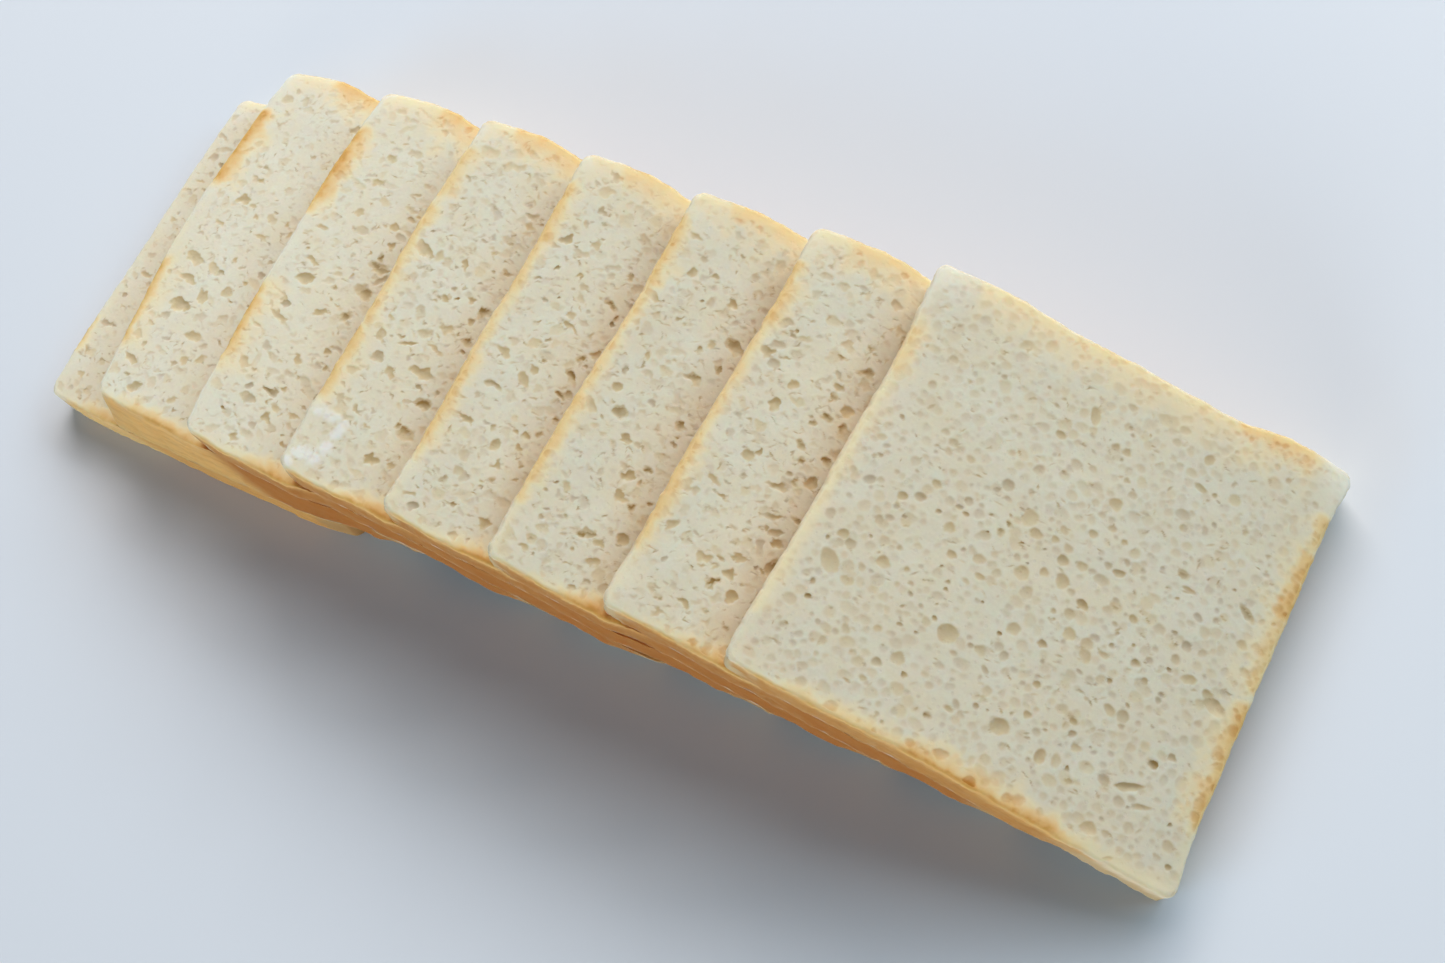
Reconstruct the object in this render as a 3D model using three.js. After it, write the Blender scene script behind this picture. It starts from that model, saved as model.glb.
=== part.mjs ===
// A square tin loaf, cut in eight slices that have toppled over to one side.
// Each slice leans on the one before it, and its lower edge stands on the table.
// Millimetres, +Z up. The fan runs along X, from the flat bottom slice at low X
// to the top slice at high X. The origin is the middle of the footprint, on the table.

import * as THREE from 'three';
import { mergeVertices } from 'three/addons/utils/BufferGeometryUtils.js';

// ---- driving dimensions ---------------------------------------------------------

const BEND_POWER = 1.3;       // how late along a slice its sag sets in
const SAG_STEPS = 24;         // straight steps that a slice's sagging underside is built from
const TOE = 1.0;              // the crust stands this far past the edge that meets the table
const RIM_TOP = 1.5;          // rounding of the cut edge, upper face
const RIM_UNDER = 1.0;        // rounding of the cut edge, lower face
const CORNER_RADIUS = 3.2;    // the loaf's long edges, seen as the slice's corners
const WAVE = 0.28;            // unevenness of the crust
const FAN_MIDDLE = 197.628;   // middle of the fan along X, taken off so the origin is central
const ROW_MIDDLE = 2.273;     // and across it

const CELLS_LONG = 14;        // straight cells along a slice, between its corners
const CELLS_WIDE = 7;         // and across it
const CELLS_CORNER = 2;       // cells round half a corner

const CRUMB = 0xece7da;

// One row for each slice, from the flat one at the bottom of the fan to the top one.
//   foot     X of the lower edge at the table          lift   height of that edge
//   rise     slope of the underside at its high end    fall   slope at the foot, radians
//   thick    thickness at the high end and at the foot
//   long     length from the high end to the foot
//   far      Y of the far side at its two corners      hump   how far its first part swells
//   near     Y of the near side at its two corners     belly  how far its middle swells
//   lead     where the high end starts at its far and near corner
//   bow      how far the high end swells in the middle (below 0, it is hollow)
//   waist    how far the far side is drawn in            shoulder how far its last part swells
//   hollow   how far the foot side is drawn in
const SLICES = [
  { name: 'slice_1', foot: 128.4, lift: 0, rise: 0, fall: 0, thick: [12.4, 10.6], long: 121.0,
    far: [56.5, 57.5], hump: 2.0, near: [-61.6, -61.4], belly: 1.7, lead: [0.8, -0.8], bow: 1.0 },
  { name: 'slice_2', foot: 154.3, lift: 4.5, rise: -0.0765, fall: 0.2927, thick: [12.5, 12.1], long: 121.0,
    far: [65.2, 62.5], hump: 3.0, near: [-57.4, -61.4], belly: 2.4, lead: [-1.2, 1.6], bow: 5.0 },
  { name: 'slice_3', foot: 196.8, lift: 0.1, rise: 0.0625, fall: 0.4908, thick: [12.4, 12.1], long: 121.0,
    far: [62.6, 61.4], hump: 2.9, near: [-59.8, -61.0], belly: 1.9, lead: [-0.4, 1.2], bow: 3.0 },
  { name: 'slice_4', foot: 235.3, lift: 0, rise: 0.2154, fall: 0.4743, thick: [12.3, 12.2], long: 121.0,
    far: [60.9, 60.4], hump: 3.2, near: [-60.2, -61.8], belly: 0.8, lead: [0.5, 0.0], bow: 0.9 },
  { name: 'slice_5', foot: 271.1, lift: 0, rise: 0.2906, fall: 0.4612, thick: [12.3, 12.2], long: 121.0,
    far: [59.3, 59.2], hump: 2.9, near: [-59.9, -60.6], belly: 0.8, lead: [0.8, 0.3], bow: -0.7 },
  { name: 'slice_6', foot: 307.3, lift: 0, rise: 0.3332, fall: 0.4403, thick: [12.3, 12.2], long: 121.0,
    far: [58.8, 59.4], hump: 2.4, near: [-60.3, -62.2], belly: 0.6, lead: [1.9, -0.9], bow: -0.3 },
  { name: 'slice_7', foot: 344.3, lift: 0, rise: 0.3169, fall: 0.4660, thick: [12.3, 12.2], long: 121.0,
    far: [59.8, 59.0], hump: 2.5, near: [-59.8, -61.2], belly: 0.7, lead: [2.3, -1.4], bow: -0.4 },
  { name: 'slice_8', foot: 383.5, lift: 0, rise: 0.2879, fall: 0.5128, thick: [12.4, 12.2], long: 122.3,
    far: [60.6, 61.2], hump: 2.4, near: [-60.2, -62.0], belly: 0.2, lead: [1.8, -2.3], bow: -1.6,
    waist: 1.7, shoulder: 2.7, hollow: 1.6 },
];

// ---- helpers --------------------------------------------------------------------

const mix = (a, b, t) => a + (b - a) * t;

// A repeatable random number source, started again for each slice.
function seeded(seed) {
  let state = seed >>> 0;
  return () => {
    state = (state + 0x6d2b79f5) >>> 0;
    let t = state;
    t = Math.imul(t ^ (t >>> 15), t | 1);
    t ^= t + Math.imul(t ^ (t >>> 7), t | 61);
    return ((t ^ (t >>> 14)) >>> 0) / 4294967296;
  };
}

// A slow wave along one side, zero at both corners.
function sideWave(random) {
  const terms = [2, 3, 5].map((turns) => ({ turns, phase: random() * Math.PI * 2, size: (0.5 + random()) / turns }));
  return (t) => {
    const fade = Math.min(1, 8 * t, 8 * (1 - t));
    let sum = 0;
    for (const { turns, phase, size } of terms) sum += size * Math.sin(turns * Math.PI * t + phase);
    return sum * fade * WAVE * 2;
  };
}

// The underside of a slice as a curve in the XZ plane, from the high end to the foot.
function underside(slice) {
  const step = slice.long / SAG_STEPS;
  const slope = (t) => slice.rise + (slice.fall - slice.rise) * Math.pow(Math.max(t, 0), BEND_POWER);
  const points = new Array(SAG_STEPS + 1);
  points[SAG_STEPS] = { x: slice.foot, z: slice.lift };
  for (let k = SAG_STEPS - 1; k >= 0; k--) {
    const tilt = (slope(k / SAG_STEPS) + slope((k + 1) / SAG_STEPS)) / 2;
    points[k] = { x: points[k + 1].x - step * Math.cos(tilt), z: points[k + 1].z + step * Math.sin(tilt) };
  }
  return (distance, height) => {
    const at = Math.min(Math.max(distance / step, 0), SAG_STEPS);
    const k = Math.min(Math.floor(at), SAG_STEPS - 1);
    const f = at - k;
    const tilt = slope(Math.min(Math.max(distance / slice.long, 0), 1));
    const spare = distance - at * step;   // past either end the curve runs on straight
    const x = mix(points[k].x, points[k + 1].x, f) + spare * Math.cos(tilt);
    const z = mix(points[k].z, points[k + 1].z, f) - spare * Math.sin(tilt);
    return { x: x + height * Math.sin(tilt), z: z + height * Math.cos(tilt) };
  };
}

function thickness(slice, distance) {
  const t = Math.min(Math.max(distance / slice.long, 0), 1);
  return mix(slice.thick[0], slice.thick[1], t * t);
}

// The four sides of a slice's outline. Each gives a coordinate for a place t, 0 to 1, along it.
function outline(slice, random) {
  const waves = [sideWave(random), sideWave(random), sideWave(random), sideWave(random)];
  const arch = (t) => 4 * t * (1 - t);
  const swell = (t) => Math.exp(-Math.pow((t - 0.16) / 0.13, 2));
  const plateau = (t) => Math.min(1, 7 * t, 7 * (1 - t));
  const second = (t) => Math.exp(-Math.pow((t - 0.86) / 0.09, 2));
  const { waist = 0, hollow = 0, shoulder = 0.7 * slice.hump } = slice;
  return {
    near: (t) => mix(slice.near[0], slice.near[1], t)
      - slice.belly * Math.min(1, 2.2 * arch(t)) - waves[0](t),
    far: (t) => mix(slice.far[0], slice.far[1], t)
      + slice.hump * swell(t) + shoulder * second(t) - waist * plateau(t) + waves[1](t),
    high: (t) => mix(slice.lead[1], slice.lead[0], t) - slice.bow * arch(t) - waves[2](t),
    foot: (t) => slice.long + TOE - 0.5 * Math.abs(waves[3](t)) - hollow * plateau(t),
  };
}

// Places along a side: a few round each corner, then even ones between.
// Each has the plain place t, and how far round the corner it lies.
function places(cells, length, radius) {
  const list = [];
  const quarter = Math.PI / 4;
  for (let k = 0; k < CELLS_CORNER; k++) {
    const turn = quarter + (quarter * k) / CELLS_CORNER;
    list.push({ along: radius * (1 - Math.cos(turn)), inset: radius * (1 - Math.sin(turn)) });
  }
  const straight = length - 2 * radius;
  for (let k = 0; k <= cells; k++) list.push({ along: radius + (straight * k) / cells, inset: 0 });
  for (let k = CELLS_CORNER - 1; k >= 0; k--) {
    const { along, inset } = list[k];
    list.push({ along: length - along, inset });
  }
  return list.map(({ along, inset }) => ({ t: along / length, inset }));
}

// ---- one slice ------------------------------------------------------------------

function sliceGeometry(slice, seed) {
  const random = seeded(seed);
  const sides = outline(slice, random);
  const lay = underside(slice);
  const wide = slice.far[0] - slice.near[0];
  const columns = places(CELLS_LONG, slice.long, CORNER_RADIUS);
  const rows = places(CELLS_WIDE, wide, CORNER_RADIUS);
  const nx = columns.length - 1;
  const ny = rows.length - 1;
  const nz = 3;

  // A box with the wanted number of cells, whose points are then laid into the slice's form.
  let box = new THREE.BoxGeometry(nx, ny, nz, nx, ny, nz);
  box.deleteAttribute('normal');
  box.deleteAttribute('uv');
  box = mergeVertices(box, 1e-4);

  const levels = [
    { inset: RIM_UNDER, height: () => 0 },
    { inset: 0, height: () => RIM_UNDER },
    { inset: 0, height: (t) => t - RIM_TOP },
    { inset: RIM_TOP, height: (t) => t },
  ];

  const position = box.attributes.position;
  for (let n = 0; n < position.count; n++) {
    const i = Math.round(position.getX(n) + nx / 2);
    const j = Math.round(position.getY(n) + ny / 2);
    const level = levels[Math.round(position.getZ(n) + nz / 2)];
    const a = columns[i];
    const b = rows[j];
    // the outline at this column and row, drawn in by the corner's rounding and the rim
    const near = sides.near(a.t) + a.inset + level.inset;
    const far = sides.far(a.t) - a.inset - level.inset;
    const high = sides.high(b.t) + b.inset + level.inset;
    const foot = sides.foot(b.t) - b.inset - level.inset;
    const first = rows[0].t;
    const begin = columns[0].t;
    const y = mix(near, far, (b.t - first) / (1 - 2 * first));
    const s = mix(high, foot, (a.t - begin) / (1 - 2 * begin));
    const place = lay(s, level.height(thickness(slice, s)));
    position.setXYZ(n, place.x - FAN_MIDDLE, y - ROW_MIDDLE, place.z);
  }
  box.computeVertexNormals();
  return box;
}

// ---- the fan --------------------------------------------------------------------

const loaf = new THREE.Group();
loaf.name = 'tin_loaf';

SLICES.forEach((slice, index) => {
  const crumb = new THREE.MeshStandardMaterial({ color: CRUMB, roughness: 0.9, metalness: 0.0 });
  crumb.name = `${slice.name}_crumb`;
  const mesh = new THREE.Mesh(sliceGeometry(slice, 701 + 37 * index), crumb);
  mesh.name = slice.name;
  loaf.add(mesh);
});

export default loaf;
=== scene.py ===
"""A square tin loaf, cut in slices that have toppled into a fan.

Each slice is one closed mesh: a cut face with open pores, a rounded rim, a golden crust wall
and a plain underside. Slices are worked out in millimetres along their own length (s), across
(y) and through (height), and then laid in the bend that each one has taken.
"""

import math

import bmesh
import bpy
import numpy as np
from mathutils import Matrix, Vector


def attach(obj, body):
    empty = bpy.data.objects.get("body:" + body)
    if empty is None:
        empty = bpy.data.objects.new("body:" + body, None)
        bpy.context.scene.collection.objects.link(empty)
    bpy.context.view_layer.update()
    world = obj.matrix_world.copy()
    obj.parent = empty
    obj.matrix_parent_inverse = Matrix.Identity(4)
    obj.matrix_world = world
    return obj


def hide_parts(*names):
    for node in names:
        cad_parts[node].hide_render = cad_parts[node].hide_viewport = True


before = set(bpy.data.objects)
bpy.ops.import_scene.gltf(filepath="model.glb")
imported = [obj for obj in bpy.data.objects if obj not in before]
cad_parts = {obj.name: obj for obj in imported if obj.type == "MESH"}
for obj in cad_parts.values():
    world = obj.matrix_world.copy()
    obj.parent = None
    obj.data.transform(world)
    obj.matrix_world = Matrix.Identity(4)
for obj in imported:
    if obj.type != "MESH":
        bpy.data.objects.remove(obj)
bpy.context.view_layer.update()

MM = 0.001
EVERYWHERE = 999.0      # longer than any slice

# ---- the loaf's form, in millimetres ------------------------------------------------

BEND_POWER = 1.3        # how late along a slice its sag sets in
SAG_STEPS = 24          # straight steps that a sagging underside is built from
TOE = 1.0               # the crust stands this far past the edge that meets the table
CORNER_RADIUS = 3.2     # the loaf's long edges, seen as the slice's corners
WAVE = 0.28             # unevenness of the crust
WAVE_SEED = 701         # the seed of the first slice's unevenness
WAVE_SEED_STEP = 37     # and what each next slice adds to it
FAN_MIDDLE = 197.628    # middle of the fan along X
ROW_MIDDLE = 2.273      # and across it
RIM_WIDE = 1.0          # rounding of the cut edge, inward
RIM_DEEP = 1.0          # and downward
RIM_UNDER = 1.0         # rounding of the lower edge

# One row for each slice, from the flat one at the bottom of the fan to the top one.
#   foot, lift   X and height of the lower edge      rise, fall  slope at the high end and the foot
#   thick        thickness at the high end and foot  long        length from high end to foot
#   far, near    Y of both long sides at their corners           hump, belly  how far they swell
#   lead, bow    start of the high end at its corners, and its swell in the middle
#   waist, shoulder, hollow   how far the far side is drawn in, how far its last part swells,
#                             and how far the foot is drawn in
SLICES = [
    dict(name="slice_1", foot=128.4, lift=0, rise=0, fall=0, thick=(12.4, 10.6), long=121.0,
         far=(56.5, 57.5), hump=2.0, near=(-61.6, -61.4), belly=1.7, lead=(0.8, -0.8), bow=1.0),
    dict(name="slice_2", foot=154.3, lift=4.5, rise=-0.0765, fall=0.2927, thick=(12.5, 12.1), long=121.0,
         far=(65.2, 62.5), hump=3.0, near=(-57.4, -61.4), belly=2.4, lead=(-1.2, 1.6), bow=5.0),
    dict(name="slice_3", foot=196.8, lift=0.1, rise=0.0625, fall=0.4908, thick=(12.4, 12.1), long=121.0,
         far=(62.6, 61.4), hump=2.9, near=(-59.8, -61.0), belly=1.9, lead=(-0.4, 1.2), bow=3.0),
    dict(name="slice_4", foot=235.3, lift=0, rise=0.2154, fall=0.4743, thick=(12.3, 12.2), long=121.0,
         far=(60.9, 60.4), hump=3.2, near=(-60.2, -61.8), belly=0.8, lead=(0.5, 0.0), bow=0.9),
    dict(name="slice_5", foot=271.1, lift=0, rise=0.2906, fall=0.4612, thick=(12.3, 12.2), long=121.0,
         far=(59.3, 59.2), hump=2.9, near=(-59.9, -60.6), belly=0.8, lead=(0.8, 0.3), bow=-0.7),
    dict(name="slice_6", foot=307.3, lift=0, rise=0.3332, fall=0.4403, thick=(12.3, 12.2), long=121.0,
         far=(58.8, 59.4), hump=2.4, near=(-60.3, -62.2), belly=0.6, lead=(1.9, -0.9), bow=-0.3),
    dict(name="slice_7", foot=344.3, lift=0, rise=0.3169, fall=0.4660, thick=(12.3, 12.2), long=121.0,
         far=(59.8, 59.0), hump=2.5, near=(-59.8, -61.2), belly=0.7, lead=(2.3, -1.4), bow=-0.4),
    dict(name="slice_8", foot=383.5, lift=0, rise=0.2879, fall=0.5128, thick=(12.4, 12.2), long=122.3,
         far=(60.6, 61.2), hump=2.4, near=(-60.2, -62.0), belly=0.2, lead=(1.8, -2.3), bow=-1.6,
         waist=1.7, shoulder=2.7, hollow=1.6),
]

# ---- how the slices lie on each other, in millimetres -------------------------------
# A pair gives the distance where a change sets in and the one where it is complete.

COVER_MARGIN = 9.0      # fine cells go on this far under the next slice
PRESSED = 0.06          # what is left of the rims where slices lie on each other
COVERED = (-2.0, 4.0)   # past the next slice's edge: the upper rim is pressed flat
CARRIED = (25.0, 40.0)  # up from the foot: the lower rim is pressed flat
CLEARANCE = 0.35        # gap left where the near edge of a slice sags onto the one below
SAG_STRIP = (8.0, 30.0)         # in from the near side: that sag dies out
SAG_PAST_FOOT = (0.0, 18.0)     # past the lower slice's foot: it dies out there too
FLAT_PAST_FOOT = (-4.0, 14.0)   # past the flat slice's foot: its edge no longer guides the wall
FLAT_STRIP = (14.0, 0.0)        # out to the near side: the wall moves over to that edge
TUCK = 1.8              # how far the lower near corner of a covered foot is drawn in
TUCK_FROM_FOOT = (20.0, 5.0)
TUCK_FROM_NEAR = (14.0, 0.0)
TOE_OUT = 2.4           # how far the last slice's lower edge is pressed out along the table
TOE_FROM_FOOT = (6.0, 1.0)
CRUST_SMOOTHING = 6     # the line of the near crust is averaged over this far each way
FAN_REACH = 400.0       # and worked out up to here

# ---- mesh fineness ------------------------------------------------------------------

FINE = 0.38             # cell size on the bare part of a cut face
FINE_TOP = 0.43         # and on the top slice, which is bare all over
COARSE = 1.8            # cell size where the next slice covers the face
COARSER = 1.25          # how fast cells grow toward it
CORNER_CELLS = 6        # cells round half a corner
RIM_CELLS = 4           # cells round the upper rim
WALL_CELLS = 5          # cells down the crust wall
HEM_CELLS = 2           # cells round the lower rim
UNDER_CELLS = 26        # cells each way on the underside

# ---- fine relief --------------------------------------------------------------------
# Each row: height in millimetres, shortest and longest wave, and how many waves.

FACE_SWELL = (0.13, 14, 40, 10)
FACE_LUMPS = (0.028, 2.5, 6, 30)
FACE_GRAIN = (0.016, 0.9, 1.8, 40)
SWELL_AT_RIM = 0.3      # what is left of the swell at the rim
INNER = (0.0, 2.0)      # in from the rim: the face takes its full relief
CRUST_WAVES = (0.22, 4, 12, 24)
CRUST_WRINKLES = (0.11, 1.2, 3.0, 24)
CRUST_DEEP = (3.0, 0.5) # out to a side: the crust's waves take hold

# ---- crumb --------------------------------------------------------------------------

CRUMB_SEED = 4200

# The bubbles that stand out, by slice: place along and across, half length, half width,
# turn in degrees from the slice's length, and tone (0 faint, 1 dark).
BIG_PORES = {
    "slice_1": [
        (7, -13, 2.4, 1.3, -5, 0.35), (5, 24, 1.6, 0.8, 0, 0.3), (6, -52, 1.8, 0.9, -20, 0.3),
        (4, 8, 1.5, 0.7, 0, 0.3), (3, -44, 1.8, 0.8, -64, 0.5),
    ],
    "slice_2": [
        (13, 26, 1.8, 0.8, -15, 0.45), (11, 18, 3.2, 1.6, 5, 0.4), (16, 17, 1.7, 0.8, -10, 0.3),
        (19, 14, 1.4, 0.8, 0, 0.4), (8, 8, 2.2, 0.8, -15, 0.3), (31, 15, 1.1, 1.0, 0, 0.35),
        (34, 12, 1.4, 0.9, 70, 0.35), (25, 8, 2.2, 1.1, -5, 0.3), (7, -6, 3.6, 2.2, -10, 0.3),
        (21, -2, 1.4, 1.2, -64, 0.35), (16, -7, 2.8, 1.6, -30, 0.25), (1, -13, 1.4, 1.1, 0, 0.5),
        (9, -13, 3.6, 1.4, 0, 0.4), (18, -17, 2.8, 1.7, -60, 0.35), (12, -22, 4.6, 2.2, -11, 0.45),
        (6, -31, 1.6, 1.0, 0, 0.4), (25, -13, 2.0, 1.8, 0, 0.3), (28, -15, 0.9, 0.6, 0, 0.7),
        (29, -8, 1.2, 0.9, 0, 0.5), (23, -30, 3.6, 1.6, 0, 0.35), (4, -36, 2.4, 1.4, 0, 0.3),
        (7, -44, 3.6, 1.3, -20, 0.4), (9, -49, 1.6, 0.5, 10, 0.6), (25, -38, 1.8, 1.4, 0, 0.3),
        (30, -36, 2.0, 1.2, 60, 0.3), (14, -52, 2.6, 1.8, 10, 0.45), (29, -51, 1.6, 1.4, 0, 0.3),
    ],
    "slice_3": [
        (14, 43, 1.6, 1.5, 0, 0.35), (14, 34, 1.8, 1.6, 0, 0.35), (14, 23, 1.6, 1.4, 0, 0.3),
        (30, 27, 1.2, 1.0, 0, 0.55), (29, 17, 1.8, 1.2, 60, 0.5), (28, 12, 1.6, 0.9, -64, 0.8),
        (29, 9, 3.0, 1.6, -10, 0.6), (24, 12, 0.7, 0.7, 0, 0.5), (29, 0, 2.8, 2.2, -20, 0.6),
        (9, 3, 3.0, 1.0, -15, 0.4), (10, -3, 3.2, 2.0, 10, 0.45), (20, -2, 1.0, 0.8, 0, 0.6),
        (6, 14, 2.2, 1.0, 0, 0.3), (21, -6, 0.7, 0.7, 0, 0.5), (20, -11, 2.4, 1.0, 20, 0.45),
        (28, -9, 1.8, 1.7, 0, 0.65), (9, -17, 2.6, 1.4, -15, 0.45), (4, -22, 2.6, 0.8, -20, 0.5),
        (7, -11, 2.4, 1.0, -25, 0.35), (29, -21, 1.5, 1.0, 0, 0.5), (31, -26, 1.0, 1.0, 0, 0.6),
        (22, -27, 2.0, 1.4, -50, 0.4), (25, -32, 1.1, 0.7, -64, 0.6), (7, -34, 2.4, 1.4, -20, 0.4),
        (23, -37, 1.0, 1.0, 0, 0.5), (23, -47, 2.2, 1.3, -25, 0.45), (30, -43, 1.8, 1.0, 0, 0.35),
        (24, -43, 2.0, 1.0, 0, 0.3), (17, -56, 1.6, 1.3, 0, 0.45), (16, -52, 0.8, 0.6, 0, 0.5),
    ],
    "slice_4": [
        (7, 52, 3.2, 2.0, -15, 0.15), (17, 51, 2.4, 1.4, 0, 0.15), (5, 16, 4.0, 1.7, -20, 0.4),
        (18, 17, 1.9, 1.0, -64, 0.45), (10, 16, 2.0, 1.2, -64, 0.25), (18, 5, 1.4, 1.0, 0, 0.5),
        (24, 24, 1.1, 1.0, 0, 0.4), (29, 36, 1.8, 1.2, 0, 0.3), (30, 20, 1.5, 1.0, 0, 0.55),
        (30, 6, 2.3, 1.6, 60, 0.75), (25, 8, 1.3, 1.0, 0, 0.5), (30, -4, 1.5, 1.2, 0, 0.8),
        (28, 2, 1.2, 1.0, 0, 0.5), (23, -3, 2.2, 1.5, 0, 0.3), (7, -13, 2.5, 1.2, -62, 0.45),
        (7, -7, 1.1, 1.0, 0, 0.3), (15, -12, 2.8, 0.8, 15, 0.45), (23, -10, 2.2, 1.0, -10, 0.3),
        (15, -22, 2.4, 1.1, -45, 0.4), (23, -18, 3.6, 1.8, -5, 0.4), (5, -26, 2.0, 1.4, 0, 0.3),
        (28, -26, 2.4, 1.6, 10, 0.8), (28, -36, 2.4, 2.0, 30, 0.65), (25, -35, 0.9, 0.8, 0, 0.8),
        (12, -36, 2.2, 1.0, -35, 0.45), (23, -47, 2.2, 1.8, 0, 0.5), (17, -39, 1.1, 0.7, 0, 0.35),
        (29, -46, 1.4, 1.0, 0, 0.4),
    ],
    "slice_5": [
        (9, 33, 2.0, 1.5, 60, 0.5), (17, 35, 1.4, 1.3, 0, 0.3), (17, 25, 1.1, 0.8, -45, 0.5),
        (4, 15, 1.2, 1.2, 0, 0.4), (22, 10, 2.6, 0.8, -19, 0.45), (29, 21, 2.3, 1.0, -30, 0.7),
        (32, 18, 1.6, 0.6, 70, 0.85), (30, 31, 1.2, 1.1, 0, 0.6), (12, 51, 2.6, 1.6, 0, 0.15),
        (29, 3, 1.3, 1.1, 0, 0.8), (32, 6, 1.8, 1.3, 60, 0.5), (29, -3, 2.0, 1.3, -40, 0.85),
        (20, -2, 1.0, 0.4, -19, 0.75), (19, -6, 1.6, 1.3, 0, 0.4), (18, -10, 2.8, 1.5, -40, 0.35),
        (9, -5, 2.6, 1.3, -25, 0.35), (11, -15, 2.5, 1.1, 0, 0.55), (29, -9, 1.7, 1.0, -5, 0.8),
        (31, -8, 1.2, 1.1, 0, 0.6), (9, -27, 2.8, 1.0, -10, 0.45), (5, -22, 1.6, 0.7, 0, 0.35),
        (7, -32, 1.1, 0.5, -64, 0.7), (17, -26, 0.8, 0.8, 0, 0.55), (26, -24, 1.2, 0.9, 0, 0.5),
        (23, -24, 1.0, 1.0, 0, 0.45), (29, -22, 0.9, 0.9, 0, 0.55), (31, -16, 1.0, 0.8, 0, 0.8),
        (26, -28, 1.3, 1.1, 0, 0.45), (20, -30, 1.7, 1.6, 0, 0.4), (23, -35, 1.4, 1.2, 0, 0.45),
        (24, -39, 1.1, 0.8, 0, 0.55), (29, -32, 1.0, 0.8, 0, 0.6), (28, -51, 2.2, 1.4, 70, 0.45),
        (22, -58, 1.6, 1.2, 0, 0.45), (6, -53, 2.0, 0.7, 0, 0.35),
    ],
    "slice_6": [
        (12, 36, 1.7, 1.3, 60, 0.4), (18, 38, 1.1, 0.9, 0, 0.55), (26, 33, 1.9, 1.5, -64, 0.5),
        (12, 9, 1.6, 1.1, -64, 0.35), (24, 17, 1.0, 1.0, 0, 0.6), (26, 20, 1.3, 1.3, 0, 0.35),
        (32, 22, 2.8, 1.8, 0, 0.6), (26, 9, 2.0, 1.5, 0, 0.6), (31, 14, 1.9, 0.9, -64, 0.65),
        (9, -3, 1.8, 1.3, 0, 0.4), (13, -9, 2.3, 1.7, 45, 0.6), (29, -5, 1.9, 1.4, -50, 0.7),
        (30, -8, 0.7, 0.6, 0, 1.0), (5, 25, 3.2, 1.3, -20, 0.4), (5, 16, 1.2, 1.2, 0, 0.35),
        (8, 46, 2.4, 1.0, 0, 0.3), (8, 13, 1.0, 0.4, 15, 0.6), (18, -15, 1.8, 1.4, 0, 0.45),
        (23, -24, 1.9, 1.8, 0, 0.5), (27, -20, 1.2, 1.0, 0, 0.9), (27, -24, 0.9, 0.9, 0, 0.55),
        (24, -30, 2.3, 1.4, 0, 0.4), (28, -31, 1.4, 0.9, 50, 0.8), (32, -28, 1.0, 0.8, 0, 0.75),
        (21, -43, 2.6, 1.4, 25, 0.6), (20, -44, 0.9, 0.8, 0, 1.0), (30, -40, 2.0, 1.8, -64, 0.5),
        (26, -49, 2.0, 1.5, 0, 0.4), (25, -44, 1.6, 1.2, 0, 0.35), (24, -58, 1.5, 1.0, 0, 0.5),
        (8, -54, 1.6, 1.1, 0, 0.35), (10, -34, 1.4, 1.3, 0, 0.25), (10, -47, 1.8, 1.5, 0, 0.15),
    ],
    "slice_7": [
        (7, 21, 2.2, 1.8, 0, 0.45), (17, 16, 1.5, 1.4, 0, 0.4), (15, 9, 2.0, 1.6, -50, 0.5),
        (25, 29, 1.2, 1.0, 0, 0.6), (33, 28, 2.3, 1.5, 0, 0.6), (31, 35, 1.2, 1.1, 0, 0.6),
        (28, 18, 1.2, 1.1, -19, 0.6), (28, 21, 1.4, 1.3, 0, 0.45), (29, 12, 1.9, 1.1, -15, 0.7),
        (34, 11, 1.5, 1.4, 0, 0.7), (26, 9, 1.0, 1.0, 0, 0.6), (26, 2, 1.5, 1.2, 0, 0.6),
        (28, -2, 1.0, 0.9, 0, 0.75), (34, 1, 1.4, 1.0, -10, 0.8), (33, -6, 2.0, 1.7, 60, 0.5),
        (33, 16, 2.2, 1.5, 0, 0.4), (15, -7, 2.1, 1.5, 20, 0.4), (34, -31, 2.6, 1.5, 80, 0.65),
        (22, -42, 2.2, 1.1, 63, 0.9), (28, -43, 2.0, 1.7, 0, 0.5), (25, -38, 1.9, 1.6, 0, 0.45),
        (17, -37, 2.2, 1.6, 5, 0.3), (21, -35, 1.2, 0.8, -10, 0.55), (25, -33, 2.2, 1.2, 20, 0.4),
        (18, -50, 2.0, 1.0, -20, 0.45), (6, -33, 2.0, 1.3, 60, 0.35), (4, -22, 2.4, 1.8, 0, 0.2),
        (10, -17, 2.2, 1.0, -25, 0.35), (14, -20, 1.8, 0.7, -25, 0.5), (26, -11, 3.0, 0.9, 10, 0.55),
        (29, -8, 0.9, 0.8, 0, 0.6), (34, -17, 1.5, 1.0, 0, 0.6), (32, -25, 1.9, 1.0, 0, 0.5),
        (28, -19, 2.4, 0.9, 20, 0.45), (25, -58, 1.2, 1.0, 0, 0.45), (33, -56, 1.4, 1.2, 0, 0.55),
    ],
    "slice_8": [
        (11, -26, 3.5, 2.4, -33, 0.3), (11, -18, 1.6, 1.5, 0, 0.5), (20, -2, 1.6, 1.2, 0, 0.55),
        (23, -20, 2.0, 1.8, 0, 0.35), (45, -29, 2.9, 2.6, 0, 0.4), (66, -44, 2.7, 2.3, 0, 0.45),
        (67, -20, 1.5, 1.1, 0, 0.65), (70, -30, 1.2, 1.2, 0, 0.6), (71, -38, 1.2, 1.1, 0, 0.5),
        (49, -50, 1.1, 1.0, 0, 0.85), (53, -46, 1.5, 0.9, 0, 0.4), (48, -58, 1.4, 1.2, 0, 0.65),
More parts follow.
